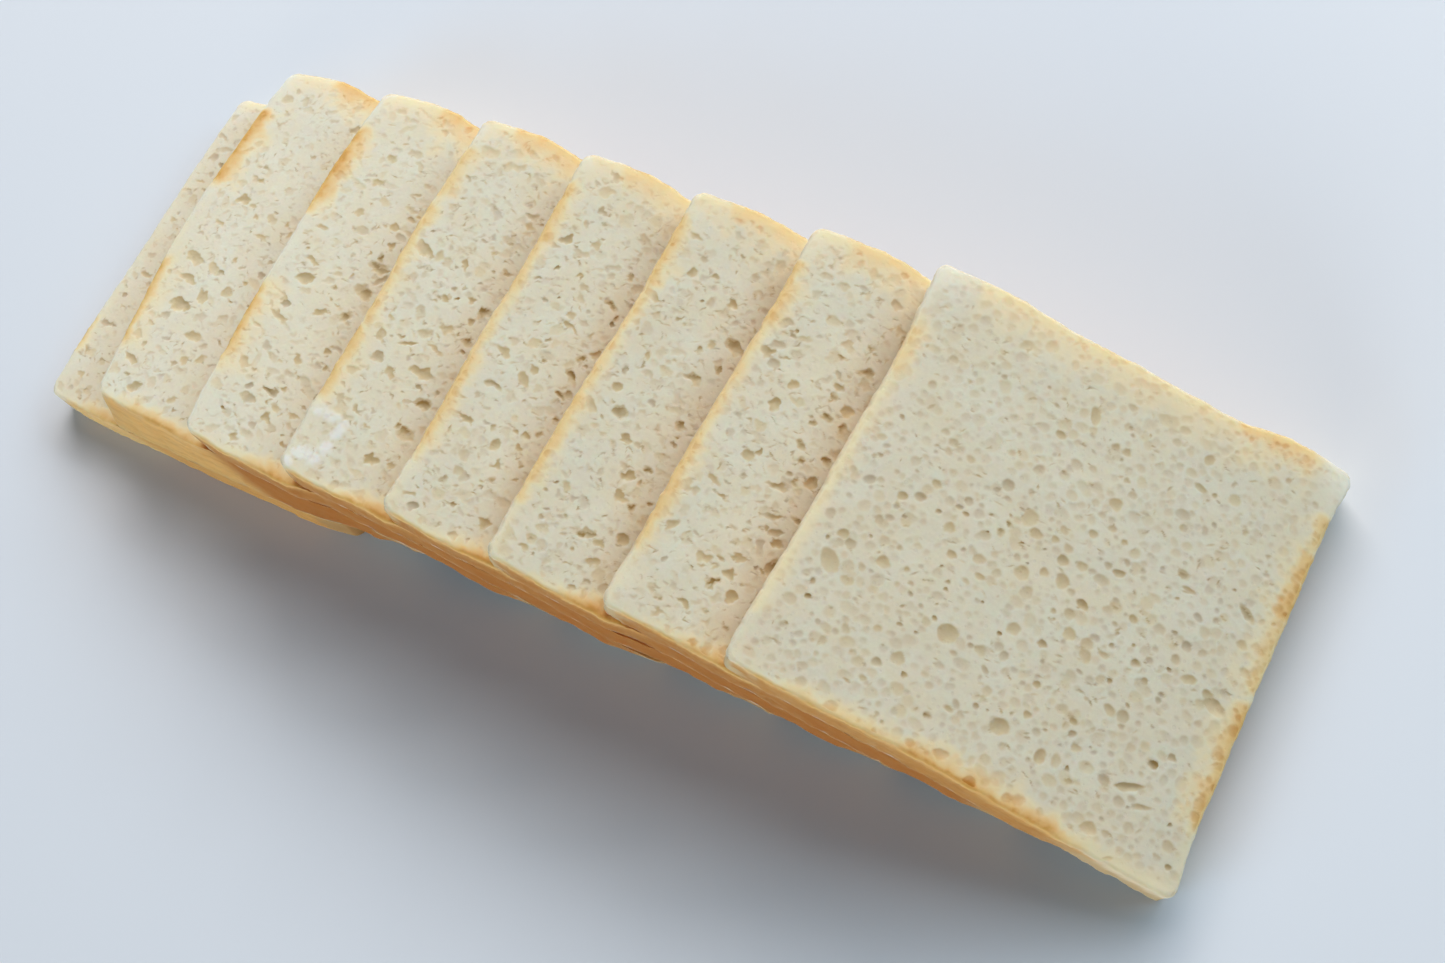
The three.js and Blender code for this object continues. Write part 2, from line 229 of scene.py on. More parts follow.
        (56, -57, 2.2, 1.4, 0, 0.55), (65, -60, 1.9, 1.7, 0, 0.65), (75, -59, 1.4, 1.2, 0, 0.7),
        (27, -59, 2.0, 1.5, 0, 0.35), (39, -60, 1.6, 0.8, 90, 0.4), (18, -57, 1.6, 1.5, 0, 0.2),
        (29, -36, 1.1, 1.1, 0, 0.3), (31, -49, 1.1, 1.0, 0, 0.35), (29, -19, 0.9, 0.9, 0, 0.5),
        (34, 2, 1.2, 0.8, 0, 0.65), (34, -4, 1.8, 1.5, 0, 0.35), (42, 4, 0.9, 0.5, 0, 0.95),
        (47, 4, 1.2, 0.7, -45, 0.95), (46, 1, 1.2, 1.0, -64, 0.7), (51, 8, 2.4, 2.3, 0, 0.25),
        (54, 5, 2.0, 1.5, 0, 0.4), (59, 6, 1.2, 1.1, 0, 0.4), (55, -6, 2.2, 2.0, 0, 0.3),
        (60, -3, 1.3, 1.3, 0, 0.4), (44, -8, 1.8, 1.6, 0, 0.3), (46, -12, 1.6, 1.0, 0, 0.4),
        (65, -3, 2.2, 1.9, -64, 0.4), (72, -6, 1.9, 1.3, -20, 0.65), (63, 2, 1.8, 1.5, 0, 0.5),
        (68, 3, 1.7, 1.4, 0, 0.35), (59, -20, 1.9, 1.8, 0, 0.35), (54, -29, 1.7, 1.6, 0, 0.3),
        (85, -3, 1.3, 1.2, 0, 0.5), (90, -13, 1.5, 1.1, 0, 0.7), (82, -15, 1.6, 1.0, 0, 0.4),
        (89, -27, 2.0, 1.3, -20, 0.4), (82, -34, 1.3, 1.0, 0, 0.65), (78, -46, 2.2, 1.6, 90, 0.45),
        (82, -45, 1.9, 1.4, 90, 0.25), (87, -48, 1.2, 0.9, 0, 0.55), (96, -56, 2.3, 1.8, 0, 0.35),
        (101, -42, 4.0, 1.2, 25, 0.6), (106, -45, 2.6, 0.8, 20, 0.4), (103, -61, 2.2, 0.7, 35, 0.6),
        (113, -13, 3.8, 1.9, -15, 0.5), (110, -11, 1.8, 1.3, 0, 0.5), (104, -10, 2.4, 1.3, 20, 0.4),
        (113, 5, 1.7, 1.5, 0, 0.4), (111, 13, 3.0, 1.1, -30, 0.75), (92, 14, 1.5, 1.3, 0, 0.7),
        (95, 11, 2.2, 0.8, 0, 0.45), (77, 6, 2.0, 1.1, 20, 0.55), (94, -16, 1.1, 1.0, 0, 0.6),
        (66, -11, 0.9, 0.8, 0, 0.5), (67, -13, 0.6, 0.6, 0, 0.6), (55, 41, 2.8, 1.4, -70, 0.35),
        (49, 32, 1.6, 1.2, 0, 0.5), (63, 36, 1.2, 1.1, 0, 0.45), (66, 36, 1.3, 1.2, 0, 0.4),
        (86, 45, 1.9, 1.4, 60, 0.45), (91, 37, 0.9, 0.9, 0, 0.65), (87, 37, 2.2, 1.0, -10, 0.45),
        (67, 12, 1.3, 1.3, 0, 0.45), (69, 22, 1.9, 1.8, 0, 0.35), (75, 14, 1.0, 1.0, 0, 0.45),
        (87, 25, 1.2, 1.1, 0, 0.4),
    ],
}

# How the rest of the bubbles are scattered: how many to a square millimetre, their usual
# half size and its spread, how long and how ragged they are, how dark, how many small tears
# there are to a square millimetre, how far the crumb is warped, how warm the big pores are,
# how much fainter the bubbles grow in its calm part, and how bold the big ones are.
FIRM_CRUMB = dict(crowd=0.115, size=0.94, spread=0.36, stretch=0.22, ragged=0.06, dark=0.12,
                  tears=0.03, warp=0.12, warm=0.85, calm=0.45, bold=0.8)
MIXED_CRUMB = dict(crowd=0.085, size=0.80, spread=0.45, stretch=0.45, ragged=0.14, dark=0.12,
                   tears=0.09, warp=0.42, warm=1.0, calm=0.0, bold=1.0)
OPEN_CRUMB = dict(crowd=0.070, size=0.86, spread=0.45, stretch=0.90, ragged=0.15, dark=0.13,
                  tears=0.07, warp=0.42, warm=1.0, calm=0.0, bold=1.0)
CRUMB = {"slice_1": OPEN_CRUMB, "slice_2": OPEN_CRUMB, "slice_3": OPEN_CRUMB, "slice_4": MIXED_CRUMB,
         "slice_5": MIXED_CRUMB, "slice_6": MIXED_CRUMB, "slice_7": MIXED_CRUMB, "slice_8": FIRM_CRUMB}

# A pore darker than this is a ragged core in a wider, paler hollow.
DARK_TONE = 0.55
HOLLOW_SIZE = 1.12      # that hollow's size, as a share of the pore's
HOLLOW_TONE = 0.30
CORE_SIZE = 0.80        # and the core's
CORE_ASIDE = 0.25       # how far the core lies off the middle, as a share of the half width

# The scattered bubbles.
PORE_SIZES = (0.34, 1.9)        # smallest and largest half size
PORE_TONES = (0.02, 0.85)
TRIES = 6               # tries to find each a free place
APART = 0.72            # the room it wants there, as a share of its half size
DARK_SHARE = 0.09       # the share of them that may be dark
CALM = (0.0, 35.0)      # up from here across the slice, a calm crumb's bubbles are fainter

# The form of a pore.
LOBES = ((2, 0.9), (3, 0.8), (5, 0.45), (7, 0.25))      # waves round its edge, and their share
FAINT_DEPTH = 0.06      # depth of a faint one, as a share of its half size
TONE_DEPTH = 0.28       # and what the darkest has more
BOWL_POWER = 2.2        # how flat its bottom is
LIP_HEIGHT = 0.06       # the crumb pushed up beside it
LIP_PLACE = 0.25
LIP_WIDTH = 0.3
IN_A_BOWL = 0.02        # deeper than this, a place lies in a pore
NO_PORE = 2.0           # the distance to a pore's edge where there is none
PAINTED_SHADE_SIDE = math.radians(100)   # painted shade: the side of each pore toward the window is painted darker, as if its own wall shaded it
WINDOW_SPARE = 5.0      # how far round a pore its cut is looked for
TORN_SWAY = (1.0, 2.0, 5.0, 24)         # relief rows: how ragged the crumb is torn
TORN_JAGS = (0.35, 1.0, 1.8, 24)
CLOSED = (1.0, 4.5)     # in from a resting slice's high end: its pores open up
CLOSED_DEPTH = 0.7      # how much shallower they are at that end
CLOSED_TONE = 0.6       # and how much paler

# How much duller each slice's crumb is than the whitest, 0 to 1.
DULL = {"slice_1": 0.2, "slice_2": 0.1, "slice_3": 0.1, "slice_4": 0.1, "slice_5": 0.1,
        "slice_6": 0.2, "slice_7": 0.3, "slice_8": 1.0}

# Dabs of torn white crumb near one corner of the fourth slice: place, half sizes, turn.
SMEARS = {"slice_4": [(2, -40, 3.5, 2.6, -15), (7, -41, 4.0, 2.4, -10), (11, -44, 2.4, 4.0, -10),
                      (6, -54, 5.0, 3.0, 5), (10, -50, 2.6, 3.0, 0), (2, -58, 3.0, 2.4, 0)]}
SMEAR_EDGE = (0.30, 1.5, 7, 30)         # relief rows: how ragged the dabs' edges are
SMEAR_LUMPS = (0.4, 1.5, 4, 20)         # and how lumpy they are
SMEAR_HEIGHT = 0.14     # how far they stand up

# ---- crust --------------------------------------------------------------------------

# How brown and pale it is, in millimetres.
NEAR_BROWN = 5.0        # the near crust is as brown as the rest is this much lower down
NEAR_BROWN_END = (108, 94)      # up from the foot: where along the slice that sets in
NEAR_WALL = (1.6, 0.6)  # out to the near side: what counts as its wall
BELOW_RIM = (0.2, 1.6)  # and below the rim
COVERED_SHADE_LAG = 1.4         # how much later the lower wall takes the painted shade under the next slice than its top, per mm down
COVERED_SHADE_SPAN = (-4, 16)  # past the next slice's edge: the wall takes painted shade, a darker brown
HIDDEN_RIM = (1, 6)     # past that edge: the face's rim is coloured like the wall, with its painted shade
HIDDEN_STRIP = (5, 3)   # out to the near side
ON_A_SIDE = 1.5         # nearer to a side than this, a point is on its rim or wall
FACES_WINDOW = dict(far=1.0, high=0.6, foot=0.3)        # how fully each side faces the window, and so how much painted shade dims its rim
VALLEY_SHADE_FADE = 7.5            # how fast the painted shade beside the next slice fades
CORNER_GLOW_REACH = 9.0        # how far the painted glow of the whitish far corners spreads

# Golden patches on each side, by slice: where one starts and ends along the side, its
# strength, and how far it reaches in over the cut face.
HIDDEN_FOOT = [(-50, 46, 0.8, 5.0)]
LEANING = dict(
    high=[(27, 50, 0.78, 3.8), (30, 42, 0.6, 5.6), (-44, 50, 0.64, 3.0), (-40, -8, 0.76, 3.8),
          (-62, 62, 0.2, 4.0)],
    far=[(14, 36, 0.66, 3.4), (12, 37, 0.55, 9.0), (2, 120, 0.28, 11.0)],
    near=[(3, 112, 0.95, 0.8), (20, 110, 0.95, 2.8), (26, 60, 1.0, 4.2), (12, 30, 0.45, 2.4),
          (0, 120, 0.15, 3.0)],
    foot=HIDDEN_FOOT,
)
GOLD = {
    "slice_1": dict(
        high=[(-45, -32, 0.8, 2.6), (-60, 56, 0.15, 3.0)],
        far=[(20, 110, 0.6, 6.0), (2, 120, 0.25, 6.0)],
        near=[(15, 114, 0.85, 4.0), (7, 22, 0.9, 1.0), (0, 120, 0.2, 3.0)],
        foot=HIDDEN_FOOT),
    "slice_2": dict(
        high=[(19, 50, 1.04, 6.8), (-40, -9, 0.95, 4.4), (-42, -6, 0.45, 8.0), (-12, 4, 0.3, 3.0)],
        far=[(17, 38, 0.86, 4.0), (16, 38, 0.80, 8.0), (2, 120, 0.30, 9.0)],
        near=[(13, 112, 0.95, 3.4), (3, 20, 0.9, 0.8), (0, 120, 0.25, 3.0)],
        foot=HIDDEN_FOOT),
    "slice_3": dict(
        high=[(18, 50, 1.0, 5.6), (30, 42, 1.10, 6.2), (-36, -9, 0.95, 4.0), (-40, -6, 0.42, 9.0)],
        far=[(19, 36, 0.80, 3.4), (18, 36, 0.65, 10.0), (2, 120, 0.30, 10.0)],
        near=[(3, 112, 0.95, 0.8), (22, 111, 0.95, 2.8), (28, 60, 1.0, 4.2), (14, 32, 0.45, 2.4),
              (0, 120, 0.2, 3.0)],
        foot=HIDDEN_FOOT),
    "slice_4": dict(
        high=[(32, 52, 0.68, 4.8), (-12, 32, 0.72, 3.6), (-38, -12, 0.80, 4.0), (-40, -8, 0.34, 8.0)],
        far=[(13, 34, 0.76, 3.4), (11, 34, 0.66, 9.0), (2, 120, 0.28, 10.0)],
        near=[(3, 112, 0.95, 0.8), (20, 110, 0.95, 2.8), (24, 60, 1.0, 4.2), (12, 30, 0.45, 2.4),
              (0, 120, 0.2, 3.0)],
        foot=HIDDEN_FOOT),
    "slice_8": dict(
        high=[(27, 43, 0.55, 5.5), (-46, 46, 0.34, 4.0)],
        far=[(15, 112, 0.36, 11.0), (16, 38, 0.42, 5.0), (44, 59, 0.5, 4.0), (62, 71, 0.42, 4.0),
             (90, 113, 0.62, 9.0)],
        near=[(3, 95, 0.95, 0.8), (14, 99, 0.68, 3.4), (44, 94, 1.0, 3.4), (48, 84, 0.80, 5.2),
              (70, 120, 0.3, 6.0), (0, 120, 0.12, 2.5)],
        foot=[(38, 47, 0.72, 6.0), (26, 38, 0.84, 6.0), (16, 28, 0.86, 6.5), (-6, 18, 0.62, 6.5),
              (-44, -8, 0.84, 6.0), (-60, -42, 0.2, 3.0)]),
}
# The wall below the rim is golden all along, but for its corners.
WALL_GOLD = dict(high=(-54, 52), far=(8, 114), foot=(-48, 46))
WALL_STRENGTH = 0.92
WALL_START = dict(high=(0.6, 6.5), far=(0.6, 6.5), foot=(0.8, 3.0))     # how deep it sets in
WALL_END = 14.0         # how gently it pales toward the corners
ON_WALL = 0.8           # nearer to a side than this, a point is on its wall
FOOT_PALER = 0.7        # how much paler the foot's wall is near the table
FOOT_PALE = (1.5, 5.0)
# How suddenly the gold ends inwards, by side, and how gently at the ends of a patch.
FADE = dict(high=1.7, foot=1.9, near=1.7, far=1.8)
SOFT_END = dict(high=3.0, foot=3.0, near=6.0, far=3.5)
# Relief rows for the gold: its reach over the face, the ends of its patches, and the same
# down the wall, where depth counts WALL_STRETCH times.
REACH_WAVES = (0.30, 5, 14, 20)
REACH_JAGS = (0.12, 2, 4, 20)
PATCH_DRIFT = (1.6, 5, 12, 20)
WALL_DRIFT = (4.0, 12, 40, 20)
WALL_JAGS = (3.0, 4, 9, 20)
WALL_SWAY = (1.8, 4, 16, 20)
WALL_STRETCH = 1.6


def mix(a, b, t):
    return a + (b - a) * t


def smooth(low, high, value):
    t = np.clip((value - low) / (high - low), 0, 1)
    return t * t * (3 - 2 * t)


# ---- a slice's outline and bend -------------------------------------------------------


def seeded(seed):
    """A repeatable random number source, the one that shapes the crust's slow waves."""
    mask = 0xFFFFFFFF
    state = seed

    def draw():
        nonlocal state
        state = (state + 0x6D2B79F5) & mask
        t = state
        t = ((t ^ (t >> 15)) * (t | 1)) & mask
        t ^= (t + (((t ^ (t >> 7)) * (t | 61)) & mask)) & mask
        return (t ^ (t >> 14)) / 4294967296

    return draw


def side_wave(draw):
    """A slow wave along one side, zero at both corners."""
    terms = [(turns, draw() * math.pi * 2, (0.5 + draw()) / turns) for turns in (2, 3, 5)]

    def wave(t):
        fade = np.minimum(1, np.minimum(8 * t, 8 * (1 - t)))
        total = sum(size * np.sin(turns * math.pi * t + phase) for turns, phase, size in terms)
        return total * fade * WAVE * 2

    return wave


def outline(piece, draw):
    """The four sides of a slice. Each gives a coordinate for places t, 0 to 1, along it."""
    waves = [side_wave(draw) for _ in range(4)]
    waist = piece.get("waist", 0)
    hollow = piece.get("hollow", 0)
    shoulder = piece.get("shoulder", 0.7 * piece["hump"])

    def arch(t):
        return 4 * t * (1 - t)

    def plateau(t):
        return np.minimum(1, np.minimum(7 * t, 7 * (1 - t)))

    def bump(t, centre, width):
        return np.exp(-(((t - centre) / width) ** 2))

    def near(t):
        belly = piece["belly"] * np.minimum(1, 2.2 * arch(t))
        return mix(piece["near"][0], piece["near"][1], t) - belly - waves[0](t)

    def far(t):
        swell = piece["hump"] * bump(t, 0.16, 0.13) + shoulder * bump(t, 0.86, 0.09)
        return mix(piece["far"][0], piece["far"][1], t) + swell - waist * plateau(t) + waves[1](t)

    def high(t):
        return mix(piece["lead"][1], piece["lead"][0], t) - piece["bow"] * arch(t) - waves[2](t)

    def foot(t):
        return piece["long"] + TOE - 0.5 * np.abs(waves[3](t)) - hollow * plateau(t)

    return near, far, high, foot


def bend(piece):
    """Gives a function that lays places along a slice and heights above its underside."""
    step = piece["long"] / SAG_STEPS

    def slope(t):
        return piece["rise"] + (piece["fall"] - piece["rise"]) * np.maximum(t, 0) ** BEND_POWER

    tilts = slope(np.arange(SAG_STEPS + 1) / SAG_STEPS)
    middle = (tilts[1:] + tilts[:-1]) / 2
    run = np.concatenate([np.cumsum((step * np.cos(middle))[::-1])[::-1], [0]])
    climb = np.concatenate([np.cumsum((step * np.sin(middle))[::-1])[::-1], [0]])
    knots = np.arange(SAG_STEPS + 1) * step

    def lay(distance, height):
        inside = np.clip(distance, 0, piece["long"])
        tilt = slope(inside / piece["long"])
        spare = distance - inside
        x = piece["foot"] - np.interp(inside, knots, run) + spare * np.cos(tilt)
        z = piece["lift"] + np.interp(inside, knots, climb) - spare * np.sin(tilt)
        return x + height * np.sin(tilt), z + height * np.cos(tilt)

    return lay


def thickness(piece, distance):
    t = np.clip(distance / piece["long"], 0, 1)
    return mix(piece["thick"][0], piece["thick"][1], t * t)


def outline_of(index):
    """The outline of a slice by its number in the fan."""
    return outline(SLICES[index], seeded(WAVE_SEED + WAVE_SEED_STEP * index))


def top_line(index, count=61):
    """A slice's cut face along its length: X, Z, and the Y of its near edge."""
    piece = SLICES[index]
    along = np.linspace(0, piece["long"], count)
    x, z = bend(piece)(along, thickness(piece, along))
    near = outline_of(index)[0]
    return x, z, near(along / piece["long"])


def crust_line():
    """The loaf's near crust as one line: its Y at each X, smoothed over the joins of the slices."""
    line_x = np.arange(0.0, FAN_REACH)
    line_y = None
    for index in range(len(SLICES)):
        top_x, _, near_y = top_line(index)
        own = np.interp(line_x, top_x, near_y)
        line_y = own if line_y is None else np.where(line_x >= top_x[0], own, line_y)
    padded = np.pad(line_y, CRUST_SMOOTHING, mode="edge")
    width = 2 * CRUST_SMOOTHING + 1
    return line_x, np.convolve(padded, np.full(width, 1 / width), "valid")


def flat_slice_edge(x):
    """The near edge of the flat slice at each X, and 1 where it lies below, 0 past its foot."""
    top_x, _, near_y = top_line(0)
    return np.interp(x, top_x, near_y), 1 - smooth(*FLAT_PAST_FOOT, x - top_x[-1])


def room_below(index, s):
    """How far a slice's near edge can sag before it rests on the slice below."""
    if index == 0:
        return np.zeros(len(s))
    top_x, top_z, _ = top_line(index - 1, 121)
    lay = bend(SLICES[index])
    x, z = lay(s, 0.0)
    upright = lay(s, 1.0)[1] - z
    gap = (z - np.interp(x, top_x, top_z)) * upright - CLEARANCE
    return np.maximum(gap, 0) * (1 - smooth(*SAG_PAST_FOOT, x - top_x[-1]))


# ---- the mesh of a slice, as a box of cells ---------------------------------------------


def places(length, fine, bare):
    """Where the cells lie along a side, as shares of its length, and how far the corner's
    rounding draws the outline in at each. Cells are fine up to bare, then grow coarse."""
    turns = math.pi / 4 * (1 + np.arange(CORNER_CELLS) / CORNER_CELLS)
    along = CORNER_RADIUS * (1 - np.cos(turns))
    inset = CORNER_RADIUS * (1 - np.sin(turns))
    marks = [CORNER_RADIUS]
    step = fine
    while marks[-1] < length - CORNER_RADIUS:
        if marks[-1] > bare:
            step = min(COARSE, step * COARSER)
        marks.append(marks[-1] + step)
    marks = np.array(marks)
    scale = (length - 2 * CORNER_RADIUS) / (marks[-1] - CORNER_RADIUS)
    marks = CORNER_RADIUS + (marks - CORNER_RADIUS) * scale
    spots = np.concatenate([along, marks, length - along[::-1]])
    insets = np.concatenate([inset, np.zeros(len(marks)), inset[::-1]])
    return spots / length, insets


def cell_box(nx, ny, rings):
    """A closed box of cells: a fine top, rings of wall, and a coarse bottom bridged to them.
    Its points stand at whole cell numbers, x and y across the top and z down the rings."""
    bm = bmesh.new()
    across = Matrix.Translation((nx / 2, ny / 2, 0)) @ Matrix.Diagonal((nx / 2, ny / 2, 1, 1))
    bmesh.ops.create_grid(bm, x_segments=nx, y_segments=ny, size=1, matrix=across)
    rim = [e for e in bm.edges if e.is_boundary]
    for _ in range(rings):
        made = bmesh.ops.extrude_edge_only(bm, edges=rim)["geom"]
        points = [g for g in made if isinstance(g, bmesh.types.BMVert)]
        rim = [g for g in made if isinstance(g, bmesh.types.BMEdge) and g.is_boundary]
        bmesh.ops.translate(bm, verts=points, vec=(0, 0, -1))
    inner = 1 - 2 * CORNER_CELLS / min(nx, ny)
    under = across @ Matrix.Translation((0, 0, -rings)) @ Matrix.Diagonal((inner, inner, 1, 1))
    bmesh.ops.create_grid(bm, x_segments=UNDER_CELLS, y_segments=UNDER_CELLS, size=1, matrix=under)
    bmesh.ops.bridge_loops(bm, edges=[e for e in bm.edges if e.is_boundary])
    bmesh.ops.recalc_face_normals(bm, faces=bm.faces)
    mesh = bpy.data.meshes.new("cells")
    bm.to_mesh(mesh)
    bm.free()
    return mesh


def wall_profile():
    """How far each ring of cells is drawn in, and its height as a share of the thickness
    and an addition to it: round the rim, down the wall, and round the lower edge."""
    inset = [RIM_WIDE]
    share = [1.0]
    add = [0.0]
    for k in range(1, RIM_CELLS + 1):
        turn = math.pi / 2 * k / RIM_CELLS
        inset.append(RIM_WIDE * (1 - math.sin(turn)))
        share.append(1.0)
        add.append(-RIM_DEEP * (1 - math.cos(turn)))
    for k in range(1, WALL_CELLS + 1):
        t = k / WALL_CELLS
        inset.append(0.0)
        share.append(1 - t)
        add.append(mix(-RIM_DEEP, RIM_UNDER, t))
    for k in range(1, HEM_CELLS + 1):
        turn = math.pi / 2 * k / HEM_CELLS
        inset.append(RIM_UNDER * (1 - math.cos(turn)))
        share.append(0.0)
        add.append(RIM_UNDER * (1 - math.sin(turn)))
    return np.array(inset), np.array(share), np.array(add)


def ripple(rng, points, height, shortest, longest, count):
    """Smooth random relief, up to about its height: waves of mixed length in random directions."""
    points = np.asarray(points)
    total = np.zeros(points.shape[1:])
    for _ in range(count):
        heading = rng.normal(size=len(points))
        heading /= np.linalg.norm(heading)
        length = mix(shortest, longest, rng.random())
        phase = rng.random() * 2 * math.pi
        total += np.sin(np.tensordot(heading, points, 1) * (2 * math.pi / length) + phase)
    return height * (total * math.sqrt(0.5 / count))


def in_oval(ds, dy, turn, long, wide):
    """How far places lie from an oval's middle along and across it, where its edge lies at 1."""
    c = math.cos(turn)
    q = math.sin(turn)
    return (ds * c + dy * q) / long, (dy * c - ds * q) / wide


# ---- pores --------------------------------------------------------------------------


def pore(rng, s, y, long, wide, turn, tone, warm, ragged):
    """One pore: its place, size, turn and tone, its uneven edge, depth and raised lip."""
    uneven = [(k, rng.normal(0, ragged * share), rng.random() * 2 * math.pi) for k, share in LOBES]
    depth = math.sqrt(long * wide) * (FAINT_DEPTH + TONE_DEPTH * tone)
    return dict(s=s, y=y, long=long, wide=wide, turn=turn, tone=tone, warm=warm, uneven=uneven,
                depth=depth, lean=rng.random() * 2 * math.pi)


def named_pores(rng, name):
    """The bubbles that stand out, made a little ragged. A dark one is a core in a paler hollow."""
    look = CRUMB[name]
    ragged = look["ragged"]
    warm = look["warm"]
    pores = []
    for s, y, long, wide, degrees, tone in BIG_PORES[name]:
        turn = math.radians(degrees)
        tone *= look["bold"]
        if tone < DARK_TONE:
            pores.append(pore(rng, s, y, long, wide, turn, tone, warm, ragged))
            continue
        aside = rng.random() * 2 * math.pi
        core_s = s + CORE_ASIDE * wide * math.cos(aside)
        core_y = y + CORE_ASIDE * wide * math.sin(aside)
        pores.append(pore(rng, s, y, HOLLOW_SIZE * long, HOLLOW_SIZE * wide, turn,
                          HOLLOW_TONE, warm - 0.2, ragged))
        pores.append(pore(rng, core_s, core_y, CORE_SIZE * long, CORE_SIZE * wide, turn,
                          tone, warm, 1.3 * ragged))
    return pores


def scattered_pores(rng, piece, bare, taken):
    """The small bubbles of one face, kept from lying on each other."""
    look = CRUMB[piece["name"]]
    near = piece["near"][0] + 1.5
    far = piece["far"][0] - 1.5
    length = min(piece["long"], bare) - 1.0
    spots = [(p["s"], p["y"], math.sqrt(p["long"] * p["wide"])) for p in taken]
    pores = []
    for _ in range(int(look["crowd"] * length * (far - near))):
        radius = float(np.clip(look["size"] * math.exp(rng.normal(0, look["spread"])), *PORE_SIZES))
        for _ in range(TRIES):
            s = rng.uniform(1.5, length)
            y = rng.uniform(near, far)
            around = np.array(spots)
            gap = np.hypot(around[:, 0] - s, around[:, 1] - y) - around[:, 2]
            if gap.min() > APART * radius:
                break
        spots.append((s, y, radius))
        stretch = 1 + abs(rng.normal(0, look["stretch"]))
        dark = 0.5 if rng.random() < DARK_SHARE and radius < 1.0 else 0.0
        tone = float(np.clip(rng.gamma(1.3, look["dark"] / 1.3) + dark, *PORE_TONES))
        tone *= 1 - look["calm"] * float(smooth(*CALM, y))
        warm = float(np.clip(0.35 * radius + 0.6 * dark + rng.normal(0.0, 0.2), 0, 1))
        ragged = look["ragged"] + 0.1 * dark
        turn = rng.normal(-0.1, 0.5)
        stretch = math.sqrt(stretch)
        pores.append(pore(rng, s, y, radius * stretch, radius / stretch, turn, tone, warm, ragged))
    return pores


def scattered_tears(rng, piece, bare):
    """Short ragged slits where the crumb has torn."""
    look = CRUMB[piece["name"]]
    length = min(piece["long"], bare) - 1.0
    near = piece["near"][0] + 1.0
    far = piece["far"][0] - 1.0
    tears = []
    for _ in range(int(look["tears"] * length * (far - near))):
        long = rng.uniform(0.5, 1.3)
        wide = rng.uniform(0.22, 0.42)
        tone = rng.uniform(0.15, 0.60)
        warm = rng.uniform(0.2, 1.0)
        turn = rng.normal(-0.1, 0.6)
        s = rng.uniform(1.0, length)
        y = rng.uniform(near, far)
        slit = pore(rng, s, y, long, wide, turn, tone, warm, 0.2)
        slit["depth"] = 0.05 + 0.15 * tone
        tears.append(slit)
    return tears


def sink(hole, s, y, fields):
    """Cuts one pore into the face: its depth, the distance to its edge, its tone and warmth. The tone and
    warmth paint shade inside the pore.
    """
    depth, edge, tone, warm = fields
    p_long, p_wide = in_oval(s - hole["s"], y - hole["y"], hole["turn"], hole["long"], hole["wide"])
    angle = np.arctan2(p_wide, p_long)
    uneven = sum(w * np.cos(k * angle + f) for k, w, f in hole["uneven"])
    reach = np.hypot(p_long, p_wide) / (1 + uneven)
    radius = math.sqrt(hole["long"] * hole["wide"])
    away = (reach - 1) * radius
    bowl = hole["depth"] * np.clip(1 - np.clip(reach, 0, 1) ** BOWL_POWER, 0, 1)
    one_side = 0.4 + 0.6 * np.cos(angle - hole["lean"])
    lip = -LIP_HEIGHT * np.exp(-((away - LIP_PLACE) / LIP_WIDTH) ** 2) * min(1, radius) * one_side
    # painted shade: one side of each pore is painted darker, as if its own wall shaded it, more so in a
    # deep one
    shaded_side = PAINTED_SHADE_SIDE + 0.5 * math.sin(hole["lean"]) - hole["turn"]
    steep = np.clip(reach, 0, 1) * np.cos(angle - shaded_side)
    own = np.clip(hole["tone"] * (1 + (0.2 + 0.6 * hole["tone"]) * steep), 0, 1)
    nearer = away < edge
    tone[nearer] = own[nearer]
    warm[nearer] = hole["warm"]
    np.maximum(tone, own * smooth(0.15, -0.2, away), out=tone)
    np.minimum(edge, away, out=edge)
    outside = np.where(depth > IN_A_BOWL, depth, depth + lip)
    np.copyto(depth, np.where(bowl > IN_A_BOWL, np.maximum(depth, bowl), outside))


def pore_fields(pores, s, y, column_s, row_y):
    """Depth, distance to the nearest edge, tone and warmth, over the grid of a cut face."""
    depth = np.zeros(s.shape)
    edge = np.full(s.shape, NO_PORE)
    tone = np.zeros(s.shape)
    warm = np.zeros(s.shape)
    for hole in pores:
        reach = 1.3 * max(hole["long"], hole["wide"]) + 0.9 + WINDOW_SPARE
        i0, i1 = np.searchsorted(column_s, [hole["s"] - reach, hole["s"] + reach])
        j0, j1 = np.searchsorted(row_y, [hole["y"] - reach, hole["y"] + reach])
        if i1 > i0 and j1 > j0:
            window = (slice(i0, i1), slice(j0, j1))
            fields = (depth[window], edge[window], tone[window], warm[window])
            sink(hole, s[window], y[window], fields)
    return depth, edge, tone, warm


def torn_apart(rng, amount, s, y):
    """The places of a cut face moved a little to and fro, which makes pores cut there ragged."""
    moved = []
    for place in (s, y):
        sway = ripple(rng, (s, y), *TORN_SWAY) + ripple(rng, (s, y), *TORN_JAGS)
        moved.append(place + amount * sway)
    return moved


def smear_field(rng, name, s, y):
    """How much torn white crumb lies over the face."""
    total = np.zeros(s.shape)
    if name not in SMEARS:
        return total
    for at_s, at_y, long, wide, turn in SMEARS[name]:
        p_long, p_wide = in_oval(s - at_s, y - at_y, math.radians(turn), long, wide)
        total = np.maximum(total, 1 - smooth(0.2, 1.4, np.hypot(p_long, p_wide)))
    return smooth(0.15, 1.05, total + ripple(rng, (s, y), *SMEAR_EDGE))


# ---- one slice ------------------------------------------------------------------------


def by_number(numbers, values):
    """The value at each cell number."""
    return np.interp(numbers, np.arange(len(values)), values)


